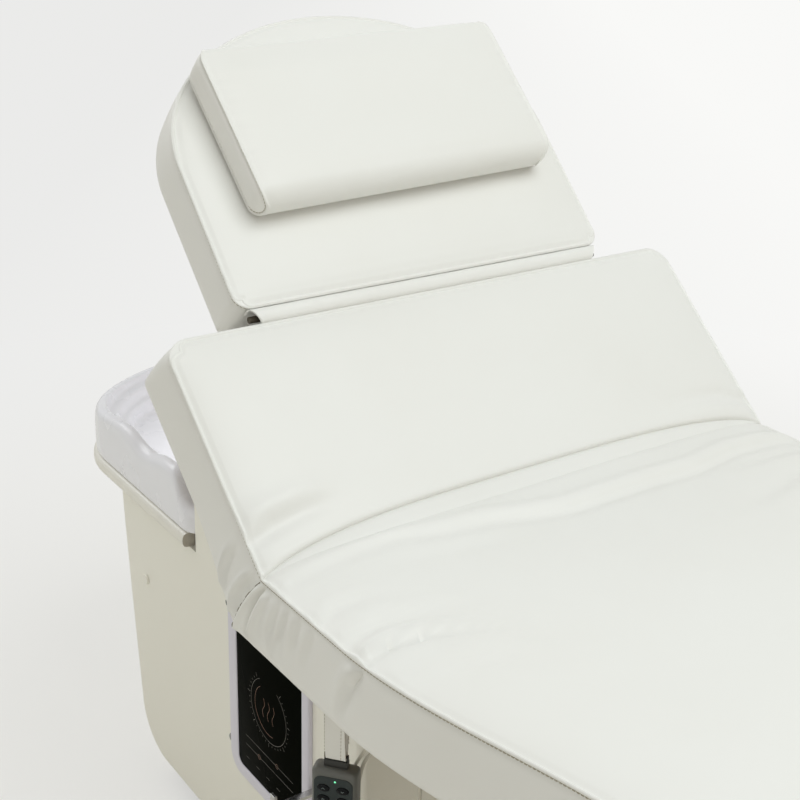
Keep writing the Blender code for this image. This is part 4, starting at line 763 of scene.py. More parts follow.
# Lines on the side panels as (y, z, strength)
SIDE_FOLDS = (
    (0.0045, -0.0026, -0.002, 0.009, 0.005, (0.228, 0.585, 0.5), (0.226, 0.612, 1.0), (0.213, 0.64, 0.9),
     (0.196, 0.66, 0.0)),
    (0.0045, -0.0028, -0.0022, 0.009, 0.005, (0.206, 0.572, 0.8), (0.198, 0.6, 1.0), (0.178, 0.626, 0.9),
     (0.16, 0.64, 0.2)),
    (0.0032, 0.0044, 0.003, -0.0075, 0.0045, (0.136, 0.6345, 0.9), (0.145, 0.6187, 1.0), (0.158, 0.5963, 1.0),
     (0.169, 0.5703, 1.0), (0.1712, 0.5589, 0.8), (0.1665, 0.55, 0.5)),
    (0.0036, 0.0042, 0.0034, 0.0095, 0.006, (-0.048, 0.6384, 1.0), (-0.0261, 0.611, 1.0), (-0.0122, 0.5803, 0.6),
     (-0.006, 0.556, 0.0)),
    (0.005, 0.002, 0.0018, 0.01, 0.006, (0.1042, 0.6276, 0.6), (0.1184, 0.5925, 1.0), (0.1153, 0.57, 0.6)),
    (0.005, 0.0018, 0.0016, 0.009, 0.006, (0.0877, 0.6323, 0.8), (0.1013, 0.5937, 1.0), (0.102, 0.575, 0.0)),
    (0.0055, 0.0016, 0.0014, 0.011, 0.007, (0.0651, 0.6402, 0.8), (0.075, 0.6001, 0.9), (0.079, 0.58, 0.0)),
    (0.0055, 0.0014, 0.0012, 0.011, 0.007, (0.04, 0.6344, 0.8), (0.0523, 0.5969, 0.8), (0.056, 0.575, 0.0)),
)


def seat_half(y):
    """Half the seat's width, drawn in at the waist."""
    share = np.clip((WAIST_START - y) / WAIST_RUN, 0.0, 1.0)
    return HALF_WIDTH - WAIST_PULL * (1.0 - np.cos(np.pi * share)) / 2


def skin_place(u, v, depth, lift=0.0):
    """The cover's skin: the seat up to JOIN_V, then the lip at the crease and the tilted back."""
    out = out_at(depth, SEAT_DEPTH) + lift
    across = spread(u)
    seat = v <= JOIN_V
    seat_t = drawn_in(np.clip((v + 1.0) / (JOIN_V + 1.0), 0.0, 1.0))
    back_q = np.clip((v - JOIN_V) / (1.0 - JOIN_V), 0.0, 1.0)
    cos_a, sin_a = math.cos(BACK_TILT), math.sin(BACK_TILT)
    share = depth / SEAT_DEPTH
    join_y = depth * math.tan(BACK_TILT / 2) + 0.027 * (1.0 - (1.0 - share) ** 2)
    join_s = join_y * cos_a - depth * sin_a
    join_d = join_y * sin_a + depth * cos_a

    # seat
    foot = SEAT_FOOT - out
    y_seat = foot + (join_y - foot) * seat_t
    half_seat = seat_half(y_seat)
    x_seat = across * (half_seat + out)
    to_side = half_seat - np.abs(x_seat)
    to_foot = y_seat - foot
    e_seat = edge_distance(to_side, to_foot, 0.012)
    x_round, y_round = into_corner(x_seat, to_foot - END_ZONE, half_seat + out, END_ZONE, 0.014)
    x_seat = np.where(to_foot < END_ZONE, x_round, x_seat)
    y_seat = np.where(to_foot < END_ZONE, y_round + foot + END_ZONE, y_seat)

    # back
    end = BACK_LENGTH + out + 0.004 * np.sin(math.pi / 2 * share)
    crease_s = CREASE_FOOT + CREASE_REACH * np.clip(1.0 - np.abs(across * HALF_WIDTH / CREASE_HALF) ** 4, 0.0, 1.0)
    turn_s = np.maximum(crease_s, join_s + 0.0004)
    s_back = np.where(
        back_q <= LIP_SHARE,
        join_s + (turn_s - join_s) * drawn_in(back_q / LIP_SHARE, 0.5),
        turn_s + (end - turn_s) * drawn_in((back_q - LIP_SHARE) / (1.0 - LIP_SHARE), 0.9),
    )
    corner = 0.030 - 0.016 * share
    deeper = np.clip((0.125 - s_back) / (0.125 - join_s), 0.0, 1.0) ** 1.3
    d_back = depth * BACK_DEPTH / SEAT_DEPTH * (1.0 - deeper) + join_d * deeper
    x_back = across * (HALF_WIDTH + out)
    e_back = edge_distance(HALF_WIDTH - np.abs(x_back), end - s_back, corner)
    x_back, s_turned = into_corner(x_back, s_back - end + 0.5, HALF_WIDTH + out, 0.5, corner + out)
    s_back = np.where(s_back > end - 0.14, s_turned + end - 0.5, s_back)

    x = np.where(seat, x_seat, x_back)
    centre = np.clip(1.0 - np.abs(x / 0.376) ** 6, 0.0, 1.0)

    # heights of the top panel
    crown_seat = CROWN * swell(to_side) * swell(to_foot)
    rise = JOIN_RISE * eased((y_seat + 0.085) / 0.085) * centre
    rolls = folds(x, y_seat, SEAT_FOLDS) * FOLD_GAIN * (1.0 - np.exp(-e_seat / 0.006))
    h_seat = crown_seat + rise + rolls + edge_roll(e_seat)
    h_seat = h_seat + 0.0011 * undulation(x, y_seat, 0.20) * swell(e_seat, 0.05)
    h_seat = h_seat + 0.0006 * puckers(y_seat, e_seat)

    ratio = np.clip(s_back / np.maximum(crease_s, 1e-4), 0.0, 1.0)
    crown_back = CROWN * swell(HALF_WIDTH - np.abs(x_back)) * swell(end - s_back)
    lip = JOIN_RISE * centre * (1.0 - ratio)
    deep = 0.0032 + 0.0018 * centre
    groove = deep * np.exp(-np.abs(s_back - crease_s) / np.where(s_back > crease_s, 0.0018, 0.0030))
    rolls = folds(x, s_back, BACK_FOLDS) * FOLD_GAIN * (1.0 - np.exp(-e_back / 0.006))
    h_back = crown_back + lip - groove + rolls + edge_roll(e_back)
    h_back = h_back + 0.0009 * undulation(x, s_back, 0.22, 5) * swell(e_back, 0.05)
    h_back = h_back + 0.0007 * puckers(np.where(end - s_back < HALF_WIDTH - np.abs(x), x, s_back), e_back, 0.014)
    seat_groove = deep * np.exp((y_seat - crease_s) / 0.0030)

    h = np.where(depth <= 0.0, np.where(seat, h_seat - seat_groove, h_back), 0.0)
    angle = BACK_TILT * eased((np.where(seat, y_seat, s_back) + 0.03) / 0.06)
    y = np.where(seat, y_seat, s_back * cos_a + d_back * sin_a)
    z = np.where(seat, SEAT_TOP - depth, SEAT_TOP + s_back * sin_a - d_back * cos_a)
    y = y - h * np.sin(angle)
    z = z + h * np.cos(angle)

    # folds of the side panels, pushed in and out
    flank = (np.abs(u) > 0.999) & (depth > 0.004)
    y_world = y + CREASE_Y
    near_join = np.where(seat, y_seat - join_y, s_back - join_s)
    far_join = np.maximum(near_join, 0.0)
    bulk = SIDE_GAIN * folds(y_world, z, SIDE_FOLDS) - 0.0014 * np.exp(-np.abs(near_join) / 0.0015) + np.where(
        near_join <= 0.0,
        0.0048 * np.exp(-(((near_join + 0.0055) / 0.0048) ** 2)),
        -0.0022 * np.exp(-far_join / 0.012) * (1.0 - np.exp(-far_join / 0.003)),
    )
    bulk = bulk + 0.0045 * share * np.exp(-((near_join / 0.06) ** 2))
    bulk = bulk + 0.0006 * puckers(y_world, depth, 0.02)
    fade = eased((depth - 0.006) / 0.010) * eased((SEAT_DEPTH - depth) / 0.012)
    x = np.where(flank, x + np.sign(x) * bulk * fade, x)
    return np.stack([x, y_world, z], axis=1)


def seat_and_back():
    """The cover over both sections, its stitches, and the seam up its sides where they meet, drawn dark as painted
    shade of the crevice.
    """
    cover = stuffed("seat_and_back_cover", SKIN_COLUMNS, SKIN_ROWS, skin_place, SEAT_DEPTH,
                    ("seat_cushion", "back_cushion"), split=JOIN_V)
    walk = outline_walk(((-1, -1), (-1, JOIN_V), (-1, 1), (1, 1), (1, JOIN_V), (1, -1), (-1, -1)), 700)
    seam = stitches("seat_and_back_stitches", skin_place, walk, None)
    # A thin dark line down each side where the sections meet: a seam, drawn dark as painted shade of the crevice
    # there.
    depths = np.linspace(0.008, SEAT_DEPTH - 0.003, 40)
    lifts = np.linspace(0.0002, 0.0014, 40)
    runs = [skin_place(np.full(40, side), np.full(40, JOIN_V), depths, lifts) for side in (-1.0, 1.0)]
    mitre = threads("seat_and_back_mitre_seam_and_shade", runs, 0.0008, MITRE_SEAM_AND_SHADE, None)
    for piece in (cover, seam, mitre):
        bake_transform(piece)


# Head section and pillow, in the head section's own frame

HEAD_ORIGIN = (0.36678, 0.82882)
HEAD_START = 0.0103
HEAD_RISE = 0.0097
HEAD_DEPTH = 0.066
HEAD_HALF = 0.275
HEAD_STRAIGHT = 0.19
HEAD_ARC = 0.20


def in_head_frame(x, s, n):
    """World places from x, the way up along the head section from its rod, and the height above its line."""
    cos_a, sin_a = math.cos(HEAD_TILT), math.sin(HEAD_TILT)
    return np.stack([x, HEAD_ORIGIN[0] + s * cos_a - n * sin_a, HEAD_ORIGIN[1] + s * sin_a + n * cos_a], axis=1)


def head_place(u, v, depth, lift=0.0):
    """The head cushion's skin: straight sides and a round head end."""
    out = out_at(depth, HEAD_DEPTH) + lift
    across = spread(u)
    along = drawn_in((v + 1.0) / 2.0)
    arc_share = HEAD_ARC / (HEAD_STRAIGHT + HEAD_ARC)
    half = HEAD_HALF + out
    start = HEAD_START - out
    straight_end = HEAD_START + HEAD_STRAIGHT
    q = (along - 1.0 + arc_share) / arc_share
    on_arc = q > 0
    size = np.maximum(np.hypot(across, np.maximum(q, 0.0)), 1e-9)
    reach = np.maximum(np.abs(across), np.maximum(q, 0.0))
    x = np.where(on_arc, across * reach / size * half, across * half)
    s = np.where(
        on_arc,
        straight_end + np.maximum(q, 0.0) * reach / size * (HEAD_ARC + out),
        start + (straight_end - start) * along / (1.0 - arc_share),
    )
    to_side = np.where(on_arc, (1.0 - reach) * 0.23, HEAD_HALF - np.abs(x))
    to_start = s - start
    e = edge_distance(to_side, to_start, 0.02)
    corner = 0.022 - 0.013 * depth / HEAD_DEPTH
    x_round, s_round = into_corner(x, to_start - END_ZONE, half, END_ZONE, corner + out)
    x = np.where(to_start < END_ZONE, x_round, x)
    s = np.where(to_start < END_ZONE, s_round + start + END_ZONE, s)
    h = NARROW_CROWN * swell(to_side) * swell(to_start) + edge_roll(e)
    h = h + 0.0009 * undulation(x, s, 0.20, 3) * swell(e, 0.05) + 0.0005 * puckers(np.where(on_arc, x, s), e)
    h = np.where(depth <= 0.0, h, 0.0)
    flank = (depth > 0.012) & (depth < HEAD_DEPTH - 0.004)
    wave = 0.0006 * undulation(x, s, 0.12, 2)
    x = np.where(flank, x * (1.0 + wave / HEAD_HALF), x)
    return in_head_frame(x, s, HEAD_RISE - depth + h)


def head_section():
    stuffed("head_pad", 120, 130, head_place, HEAD_DEPTH, "head_cushion", "head")
    stitches("head_stitches", head_place, outline_walk(AROUND, 500), "head")


PILLOW_LOW = 0.0182
PILLOW_TOP = 0.0615
PILLOW_HALF = 0.2195
PILLOW_FOOT, PILLOW_HEAD = 0.1195, 0.3330
PILLOW_TURN = math.radians(1.9)
PILLOW_MIDDLE = (PILLOW_FOOT + PILLOW_HEAD) / 2


def even_points(line, count):
    """Equally spaced points along a closed line."""
    steps = run_lengths(line)
    where = np.arange(count) * steps[-1] / count
    return np.stack([np.interp(where, steps, line[:, 0]), np.interp(where, steps, line[:, 1])], axis=1)


def pillow_profile(count=120):
    """The pillow's side panel as points along the head section and above it, with the way outwards at each."""
    dense = []
    for s, n, radius, half_turns in (
        (PILLOW_HEAD, PILLOW_TOP, 0.006, 0.0), (PILLOW_FOOT, PILLOW_TOP, 0.0215, 0.5),
        (PILLOW_FOOT, PILLOW_LOW, 0.0180, 1.0), (PILLOW_HEAD, PILLOW_LOW, 0.012, 1.5),
    ):
        cs = s - radius if half_turns in (0.0, 1.5) else s + radius
        cn = n - radius if half_turns in (0.0, 0.5) else n + radius
        dense += quarter(cs, cn, radius, half_turns, 24)
    points = even_points(np.array(dense + [dense[0]]), count)
    along = np.roll(points, -1, axis=0) - np.roll(points, 1, axis=0)
    along /= np.linalg.norm(along, axis=1)[:, None]
    return points, np.stack([along[:, 1], -along[:, 0]], axis=1)


def pillow_ring(x, shrink=0.0, proud=0.0):
    """One ring around the pillow at a place across the table."""
    points, outward = pillow_profile()
    side = PILLOW_HALF - abs(x)
    upper = eased((points[:, 1] - PILLOW_LOW) / (PILLOW_TOP - PILLOW_LOW) * 2.0 - 0.9)
    inner = swell(np.full(len(points), side))
    along = (points[:, 0] - PILLOW_FOOT) / (PILLOW_HEAD - PILLOW_FOOT)
    height = 0.0058 * inner * upper * eased(along * 5.0) * eased((1.0 - along) * 5.0)
    height = height + 0.0010 * undulation(np.full(len(points), x), points[:, 0], 0.12, 6) * inner * upper
    height = height + 0.0007 * puckers(points[:, 0] + points[:, 1], np.full(len(points), max(side, 0.0)), 0.014)
    height = height - 0.0016 * eased((PILLOW_FOOT + 0.03 - points[:, 0]) / 0.03) * (1.0 - inner) * upper
    skin = points + outward * (height + proud)[:, None]
    inward = np.clip(skin[:, 0], PILLOW_FOOT + 0.028, PILLOW_HEAD - 0.020)
    core = np.stack([inward, np.full(len(points), (PILLOW_LOW + PILLOW_TOP) / 2)], axis=1)
    skin = skin * (1.0 - shrink) + core * shrink
    skin[:, 1] = np.maximum(skin[:, 1], PILLOW_LOW)
    cos_t, sin_t = math.cos(PILLOW_TURN), math.sin(PILLOW_TURN)
    off = skin[:, 0] - PILLOW_MIDDLE
    corner = 0.024
    deep = np.clip((np.abs(off) - (PILLOW_HEAD - PILLOW_FOOT) / 2 + corner) / corner, 0.0, 1.0)
    x = x - np.sign(x) * 0.55 * corner * (1.0 - np.sqrt(1.0 - deep**2)) * min(abs(x) / PILLOW_HALF, 1.0) ** 8
    ring = in_head_frame(x * cos_t - off * sin_t, x * sin_t + off * cos_t + PILLOW_MIDDLE, skin[:, 1])
    return [tuple(point) for point in ring]


def pillow():
    """Box pillow: one cover over the top, the rolled lower edge and the underside, and a piped panel at each side."""
    edge = (
        (0.80, 0.0026, 0.0), (0.62, 0.0028, 0.0), (0.42, 0.0022, 0.0), (0.24, 0.0010, 0.0), (0.15, -0.0008, 0.0),
        (0.11, -0.0018, -0.0004), (0.075, -0.0016, -0.0004), (0.045, -0.0002, -0.0003), (0.015, 0.0004, 0.0),
        (0.0, -0.0004, 0.0004), (0.0, -0.0018, 0.0005), (0.0, -0.0032, -0.0001), (0.0, -0.0050, -0.0006),
        (0.0, -0.0080, -0.0004), (0.0, -0.0130, 0.0),
    )
    rings = [pillow_ring(-PILLOW_HALF - out, shrink, proud) for shrink, out, proud in edge]
    reach = PILLOW_HALF - 0.0130
    rings += [pillow_ring(-reach + 2 * reach * float(drawn_in(i / 84, 0.8))) for i in range(1, 84)]
    rings += [pillow_ring(PILLOW_HALF + out, shrink, proud) for shrink, out, proud in reversed(edge)]
    pad = lofted(rings, "pillow_pad", LEATHER, None, "pillow", 75.0)
    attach(pad, "head")
    runs = []
    for side in (-1, 1):
        low = np.array(pillow_ring(side * (PILLOW_HALF - 0.0022), 0.11))
        high = np.array(pillow_ring(side * (PILLOW_HALF - 0.0012), 0.11))
        runs += thread_runs(np.concatenate([low, low[:1]]), np.concatenate([high, high[:1]]))
    threads("pillow_stitches", runs, 0.0005, THREAD_AND_GROOVE_SHADE, "head")


# Leg section

LEG_ORIGIN = -0.46
LEG_LENGTH = 0.54
LEG_HALF_HEAD = 0.308
LEG_HALF_FOOT = 0.33
LEG_CORNER = 0.07


def leg_place(u, v, depth, lift=0.0):
    """The leg cushion's skin: widening to a foot end with round corners."""
    out = out_at(depth, SEAT_DEPTH) + lift
    across = spread(u)
    along = drawn_in((v + 1.0) / 2.0)
    foot = -LEG_LENGTH - out
    head = -0.010 + out
    y = foot + (head - foot) * along
    half = LEG_HALF_HEAD + (LEG_HALF_FOOT - LEG_HALF_HEAD) * (head - y) / (head - foot)
    x = across * (half + out)
    to_side = half - np.abs(x)
    to_end = np.minimum(y - foot, head - y)
    e = edge_distance(to_side, to_end, np.where(y < -0.3, LEG_CORNER, 0.012))
    middle = (foot + head) / 2
    radius = np.where(y < middle, LEG_CORNER + out, 0.014 + out)
    x, y_round = into_corner(x, y - middle, half + out, (head - foot) / 2, radius)
    y = y_round + middle
    h = NARROW_CROWN * swell(to_side) * swell(y - foot) * swell(head - y) + edge_roll(e)
    h = h + 0.0010 * undulation(x, y, 0.22, 4) * swell(e, 0.05)
    h = h + 0.0006 * puckers(np.where(to_end < to_side, x, y), e)
    h = np.where(depth <= 0.0, h, 0.0)
    return np.stack([x, y + LEG_ORIGIN, SEAT_TOP - depth + h], axis=1)


def leg_section():
    stuffed("leg_pad", 120, 120, leg_place, SEAT_DEPTH, "leg_cushion", "leg")
    stitches("leg_stitches", leg_place, outline_walk(AROUND, 450), "leg")


FLAP_HALF = 0.262
FLAP_THICKNESS = 0.0017
FLAP_ARCH = (
    (-0.0094, -0.0060), (-0.0098, -0.0020), (-0.0099, 0.0025), (-0.0095, 0.0062), (-0.0082, 0.0088),
    (-0.0058, 0.0104), (-0.0024, 0.0116), (0.0012, 0.0121), (0.0046, 0.0118), (0.0074, 0.0105), (0.0092, 0.0082),
    (0.0099, 0.0045), (0.0099, 0.0), (0.0096, -0.0050),
)


def hinge_flap():
    """A strip of leather arched over the head section's rod, sewn to the back and head sections."""
    slope = (BACK_TILT + HEAD_TILT) / 2
    outer = np.array(FLAP_ARCH)
    away = outer - np.array((0.0, 0.001))
    inner = outer - away / np.linalg.norm(away, axis=1)[:, None] * FLAP_THICKNESS
    section = np.concatenate([outer, inner[::-1]])
    rings = []
    for i in range(91):
        u = 2.0 * float(drawn_in(i / 90, 0.7)) - 1.0
        hem = 0.0011 * math.exp(-(((1.0 - abs(u)) / 0.014) ** 2))
        sag = 0.00045 * math.sin(u * 31.0 + 1.7 * math.sin(u * 11.0))
        grow = 1.0 + (hem + sag) / 0.012 * np.clip(section[:, 1] / 0.012, 0.0, 1.0)
        rings.append([
            (u * (FLAP_HALF - 0.012 * (0.5 - a / 0.0198) * abs(u) ** 6),
             HEAD_ORIGIN[0] + a * math.cos(slope) - b * math.sin(slope),
             HEAD_ORIGIN[1] + a * math.sin(slope) + b * math.cos(slope))
            for a, b in zip(section[:, 0], section[:, 1] * grow)
        ])
    piece = lofted(rings, "hinge_flap_leather", LEATHER, None, "hinge_flap", 80.0)
    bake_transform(piece)


# ---------------------------------------------------------------- basin, trim and cabinet

BASIN_HALF = 0.2655
BASIN_FOOT = 0.5253
BASIN_STRAIGHT = 0.808
BASIN_ARC = 0.1855
RING_POINTS = 168


def basin_outline(inset):
    """The basin's plan: straight sides and foot, half an ellipse at the head end. Points evenly along it."""
    half = BASIN_HALF - inset
    foot_y = BASIN_FOOT + inset
    corner = max(0.022 - inset * 0.3, 0.010)
    side = BASIN_STRAIGHT - foot_y - corner
    dense = head_arc(inset, 200)
    dense += [(-half, BASIN_STRAIGHT - side * i / 60) for i in range(60)]
    for centre, start, straight in ((-half + corner, 1.0, 80), (half - corner, 1.5, 0)):
        dense += quarter(centre, foot_y + corner, corner, start, 24, 0)
        dense += [(-half + corner + 2 * (half - corner) * i / 80, foot_y) for i in range(straight)]
    dense += [(half, foot_y + corner + side * i / 60) for i in range(60)]
    return evenly(dense)


def head_arc(inset, steps, last=0):
    """Half an ellipse round the basin's head end, from right to left; last=1 takes its end in."""
    turns = [math.pi * i / steps for i in range(steps + last)]
    half, arc = BASIN_HALF - inset, BASIN_ARC - inset
    return [(half * math.cos(turn), BASIN_STRAIGHT + arc * math.sin(turn)) for turn in turns]


def evenly(dense):
    """Equally spaced points along a closed line that starts at the same place for every ring."""
    line = np.array(dense + [dense[0]])
    start = int(np.argmax(line[:-1, 1] - np.abs(line[:-1, 0]) * 0.001))
    return even_points(np.concatenate([line[start:-1], line[: start + 1]]), RING_POINTS)


# The rim along the table from the crease, and its height there: at its outer and its inner edge
RIM_OUTER = (
    (0.385, 0.408, 0.420, 0.430, 0.440, 0.4687, 0.500, 0.525, 0.5429, 0.5575, 0.5717, 0.587, 0.605, 0.66, 0.72, 0.80),
    (0.510, 0.511, 0.522, 0.545, 0.5545, 0.5525, 0.5455, 0.5405, 0.5390, 0.5425, 0.5485, 0.5535, 0.5562, 0.552,
     0.544, 0.540),
)
RIM_INNER = (
    (0.385, 0.408, 0.420, 0.430, 0.440, 0.4837, 0.500, 0.5206, 0.5417, 0.5607, 0.5798, 0.5974, 0.6236, 0.66, 0.72,
     0.80),
    (0.510, 0.511, 0.522, 0.545, 0.5560, 0.5545, 0.5505, 0.5443, 0.5452, 0.5490, 0.5535, 0.5560, 0.5550, 0.551,
     0.544, 0.540),
)
RIM_WIDTH = 0.019


def rim_height(y, inset):
    """Height of the rim, from the notch at its foot to the raised head end, across its wide band."""
    outer, inner = (np.interp(y - CREASE_Y, *line) for line in (RIM_OUTER, RIM_INNER))
    share = min(max(inset / RIM_WIDTH, 0.0), 1.0)
    return outer * (1.0 - share) + inner * share


def wash_basin():
    """Moulded tub: flange, raised rim, two inner steps, a shelf and a bowl, as one closed skin."""
    under = 0.4767
    drain_y = 0.6515
    rings = []

    def level(outline, height):
        rings.append([(x, y, z) for (x, y), z in zip(outline, np.broadcast_to(height, len(outline)))])

    def drain(*levels):
        for radius, z in levels:
            level(evenly([(radius * math.cos(a), drain_y + radius * math.sin(a)) for a in full_turn(90)]), z)

    def bowl(*levels):
        for grow, z in levels:
            low, high = (-0.205 - grow, 0.580 - grow), (0.205 + grow, 0.723 + grow)
            level(evenly(rounded_rectangle(low, high, max(0.045 + grow, 0.012), 12)), z)

    def rim(*levels):
        """Rings at a drop below the rim's height, but no higher than a limit; 1.0 stands for none."""
        for inset, height, drop in levels:
            outline = basin_outline(inset)
            level(outline, np.minimum(height, rim_height(outline[:, 1], inset) - drop))

    drain((0.0200, 0.3545), (0.0300, 0.3543))
    bowl(
        (-0.030, 0.3545), (-0.006, 0.3565), (0.004, 0.366), (0.0075, 0.385), (0.0078, 0.462), (0.010, 0.4755),
        (0.016, under),
    )
    for inset, z in ((0.030, under), (0.004, under), (0.0005, under + 0.0012), (0.0, under + 0.006)):
        level(basin_outline(inset), z)
    rim(
        (0.0002, 1.0, 0.022), (0.0008, 1.0, 0.0120), (0.0024, 1.0, 0.0062), (0.0055, 1.0, 0.0024),
        (0.0095, 1.0, 0.0006), (0.0140, 1.0, 0.0), (0.0170, 1.0, 0.0005), (0.0190, 1.0, 0.0022),
        (0.0202, 0.5350, 0.0052), (0.0222, 0.5300, 0.0085), (0.0255, 0.5283, 0.0102), (0.0325, 0.5272, 0.0108),
        (0.0355, 0.5255, 0.0118), (0.0375, 0.5200, 0.0140), (0.0395, 0.5145, 0.0165), (0.0425, 0.5125, 0.0180),
        (0.0480, 0.5112, 0.0190), (0.0508, 0.5085, 0.0205), (0.0526, 0.5000, 0.0235), (0.0545, 0.4920, 0.0300),
        (0.0592, 0.4885, 0.0330),
    )
    bowl(
        (-0.001, 0.4868), (-0.004, 0.4835), (-0.006, 0.475), (-0.009, 0.400), (-0.013, 0.378), (-0.024, 0.366),
        (-0.042, 0.3630),
    )
    drain((0.0400, 0.3618), (0.0330, 0.3616), (0.0205, 0.3610), (0.0200, 0.3590))
    rings.append(rings[0])
    piece = lofted(rings, "wash_basin", BASIN, "base", "basin", 60.0, "joined")
    soft = piece.modifiers.new("soft", "SUBSURF")
    soft.levels = 1
    soft.render_levels = 1


TRIM_FOOT = 0.5432
TRIM_LOW, TRIM_HIGH = 0.4551, 0.4761


def trim_band():
    """Round-edged band under the basin, ending in a cut face on each side, coloured darker as painted shade of the
    ends facing the foot.
    """
    section = (
        (0.0135, TRIM_LOW), (0.006, TRIM_LOW), (0.001, 0.4556), (-0.0025, 0.4575), (-0.0042, 0.4612),
        (-0.0047, 0.4655), (-0.0042, 0.4698), (-0.0025, 0.4735), (0.001, 0.4755), (0.006, TRIM_HIGH),
        (0.0135, TRIM_HIGH),
    )
    lines = []
    for inset, _ in section:
        half = BASIN_HALF - inset
        side = BASIN_STRAIGHT - TRIM_FOOT
        right = [(half, TRIM_FOOT + side * i / 14) for i in range(14)]
        lines.append(right + head_arc(inset, 48, 1) + [(-half, BASIN_STRAIGHT - side * i / 14) for i in range(1, 15)])
    columns, rows = len(lines[0]) - 1, len(section) - 1
    bm = bmesh.new()
    bmesh.ops.create_grid(bm, x_segments=columns, y_segments=rows, size=1.0)
    for vert in bm.verts:
        i = round((vert.co.x + 1.0) / 2.0 * columns)
        j = round((vert.co.y + 1.0) / 2.0 * rows)
        vert.co = (*lines[j][i], section[j][1])

    def open_edges(z):
        return [e for e in bm.edges if e.is_boundary and all(abs(v.co.z - z) < 1e-5 for v in e.verts)]

    bmesh.ops.bridge_loops(bm, edges=open_edges(TRIM_LOW) + open_edges(TRIM_HIGH))
    bmesh.ops.holes_fill(bm, edges=[e for e in bm.edges if e.is_boundary], sides=0)
    bmesh.ops.recalc_face_normals(bm, faces=bm.faces[:])
    piece = made_piece(mesh_of(bm, "trim"), "basin_trim_band", TRIM, "base", "basin_trim", 50.0)
    # The foot-facing cut end faces take the darker finish: painted shade.
    piece.data.materials.append(TRIM_END_SHADE)
    for face in piece.data.polygons:
        if face.normal.y < -0.9 and face.center.y < TRIM_FOOT + 0.0018:
            face.material_index = 1


CABINET_HALF = 0.26
CABINET_FOOT = 0.125
CABINET_HEAD = 0.770
CABINET_LEAN = 0.034
CABINET_LOW = 0.037
CABINET_BAND = 0.4547
CABINET_TOP = 0.530


def cabinet_ring(head_y, z):
    """One level of the cabinet: a plan with small round corners."""
    ring = []
    for x, y, radius, half_turns in (
        (-CABINET_HALF, CABINET_FOOT, 0.012, 1.0), (CABINET_HALF, CABINET_FOOT, 0.012, 1.5),
        (CABINET_HALF, head_y, 0.014, 0.0), (-CABINET_HALF, head_y, 0.014, 0.5),
    ):
        cx = x + radius if x < 0 else x - radius
        cy = y + radius if half_turns in (1.0, 1.5) else y - radius
        ring += [(*place, z) for place in quarter(cx, cy, radius, half_turns, 10)]
    return ring


def cabinet():
    """Moulded cabinet: upright foot and side walls, a leaning head wall and a round low corner."""
    low_y, low_z, low_r = 0.662, 0.111, 0.074
    slot_half, slot_low = 0.045, 0.385
    rail_in, rail_out, rail_low = 0.2020, 0.2280, 0.4997
    basin_foot = 0.5247
    rings = []
    for i in range(15):
        turn = math.pi / 2 * (0.04 + 0.96 * i / 14)
        rings.append(cabinet_ring(low_y + low_r * math.sin(turn), max(low_z - low_r * math.cos(turn), CABINET_LOW)))
    for i in range(1, 11):
        z = low_z + (CABINET_BAND - low_z) * i / 10
        rings.append(cabinet_ring(CABINET_HEAD - CABINET_LEAN * ((0.455 - z) / (0.455 - low_z)) ** 1.2, z))
    rings += [cabinet_ring(CABINET_HEAD, z) for z in (0.492, CABINET_TOP)]
    bm = ring_loft(rings, "open")
    cuts = (-slot_half, slot_half, -rail_out, -rail_in, rail_in, rail_out), (basin_foot,), (slot_low, rail_low)
    for axis, places in enumerate(cuts):
        for place in places:
            spot, way = [0.0, 0.0, 0.0], [0.0, 0.0, 0.0]
            spot[axis], way[axis] = place, 1.0
            bmesh.ops.bisect_plane(
                bm, geom=bm.verts[:] + bm.edges[:] + bm.faces[:], plane_co=spot, plane_no=way, dist=1e-6
            )
    gone = []
    for face in bm.faces:
        x, y, z = face.calc_center_median()
        over_basin = z > CABINET_BAND and y > basin_foot
        at_foot = y < CABINET_FOOT + 0.002
        in_slot = at_foot and abs(x) < slot_half and z > slot_low
        at_rail = at_foot and rail_in < abs(x) < rail_out and z > rail_low
        if over_basin or in_slot or at_rail:
            gone.append(face)
    bmesh.ops.delete(bm, geom=gone, context="FACES")
    bmesh.ops.delete(bm, geom=[vert for vert in bm.verts if not vert.link_faces], context="VERTS")
    bmesh.ops.recalc_face_normals(bm, faces=bm.faces[:])
    if sum(f.normal.x * f.calc_center_median().x for f in bm.faces) < 0:
        bmesh.ops.reverse_faces(bm, faces=bm.faces[:])
    piece = made_piece(mesh_of(bm, "cabinet"), "cabinet_body", SHELL, "base", "cabinet_shell", 40.0)
    wall = piece.modifiers.new("wall", "SOLIDIFY")
    wall.thickness = 0.010
    wall.offset = -1.0
    wall.use_even_offset = True
    bevel_edges(piece, 0.0012, 2, 40.0)


# ---------------------------------------------------------------- touch panel

WALL_X = -0.2603


SURROUND = (0.2285, 0.178, 0.4285, 0.475, 0.030)
WINDOW = (0.2452, 0.1967, 0.4068, 0.4553, 0.0123)
GLASS_EDGE = (0.2455, 0.197, 0.4065, 0.455, 0.012)
DIAL = (0.326, 0.322)
SIGN_Y, SIGN_PITCH = 0.272, 0.036


def wall_rings(area, levels):
    """Outlines of an area (y, z, y, z, corner radius) on the cabinet's wall, each grown and raised off the wall."""
    y0, z0, y1, z1, radius = area
    rings = []
    for grow, out in levels:
        points = rounded_rectangle((y0 - grow, z0 - grow), (y1 + grow, z1 + grow), radius + grow, 10)
        rings.append([(WALL_X - out, y, z) for y, z in points])
    return rings


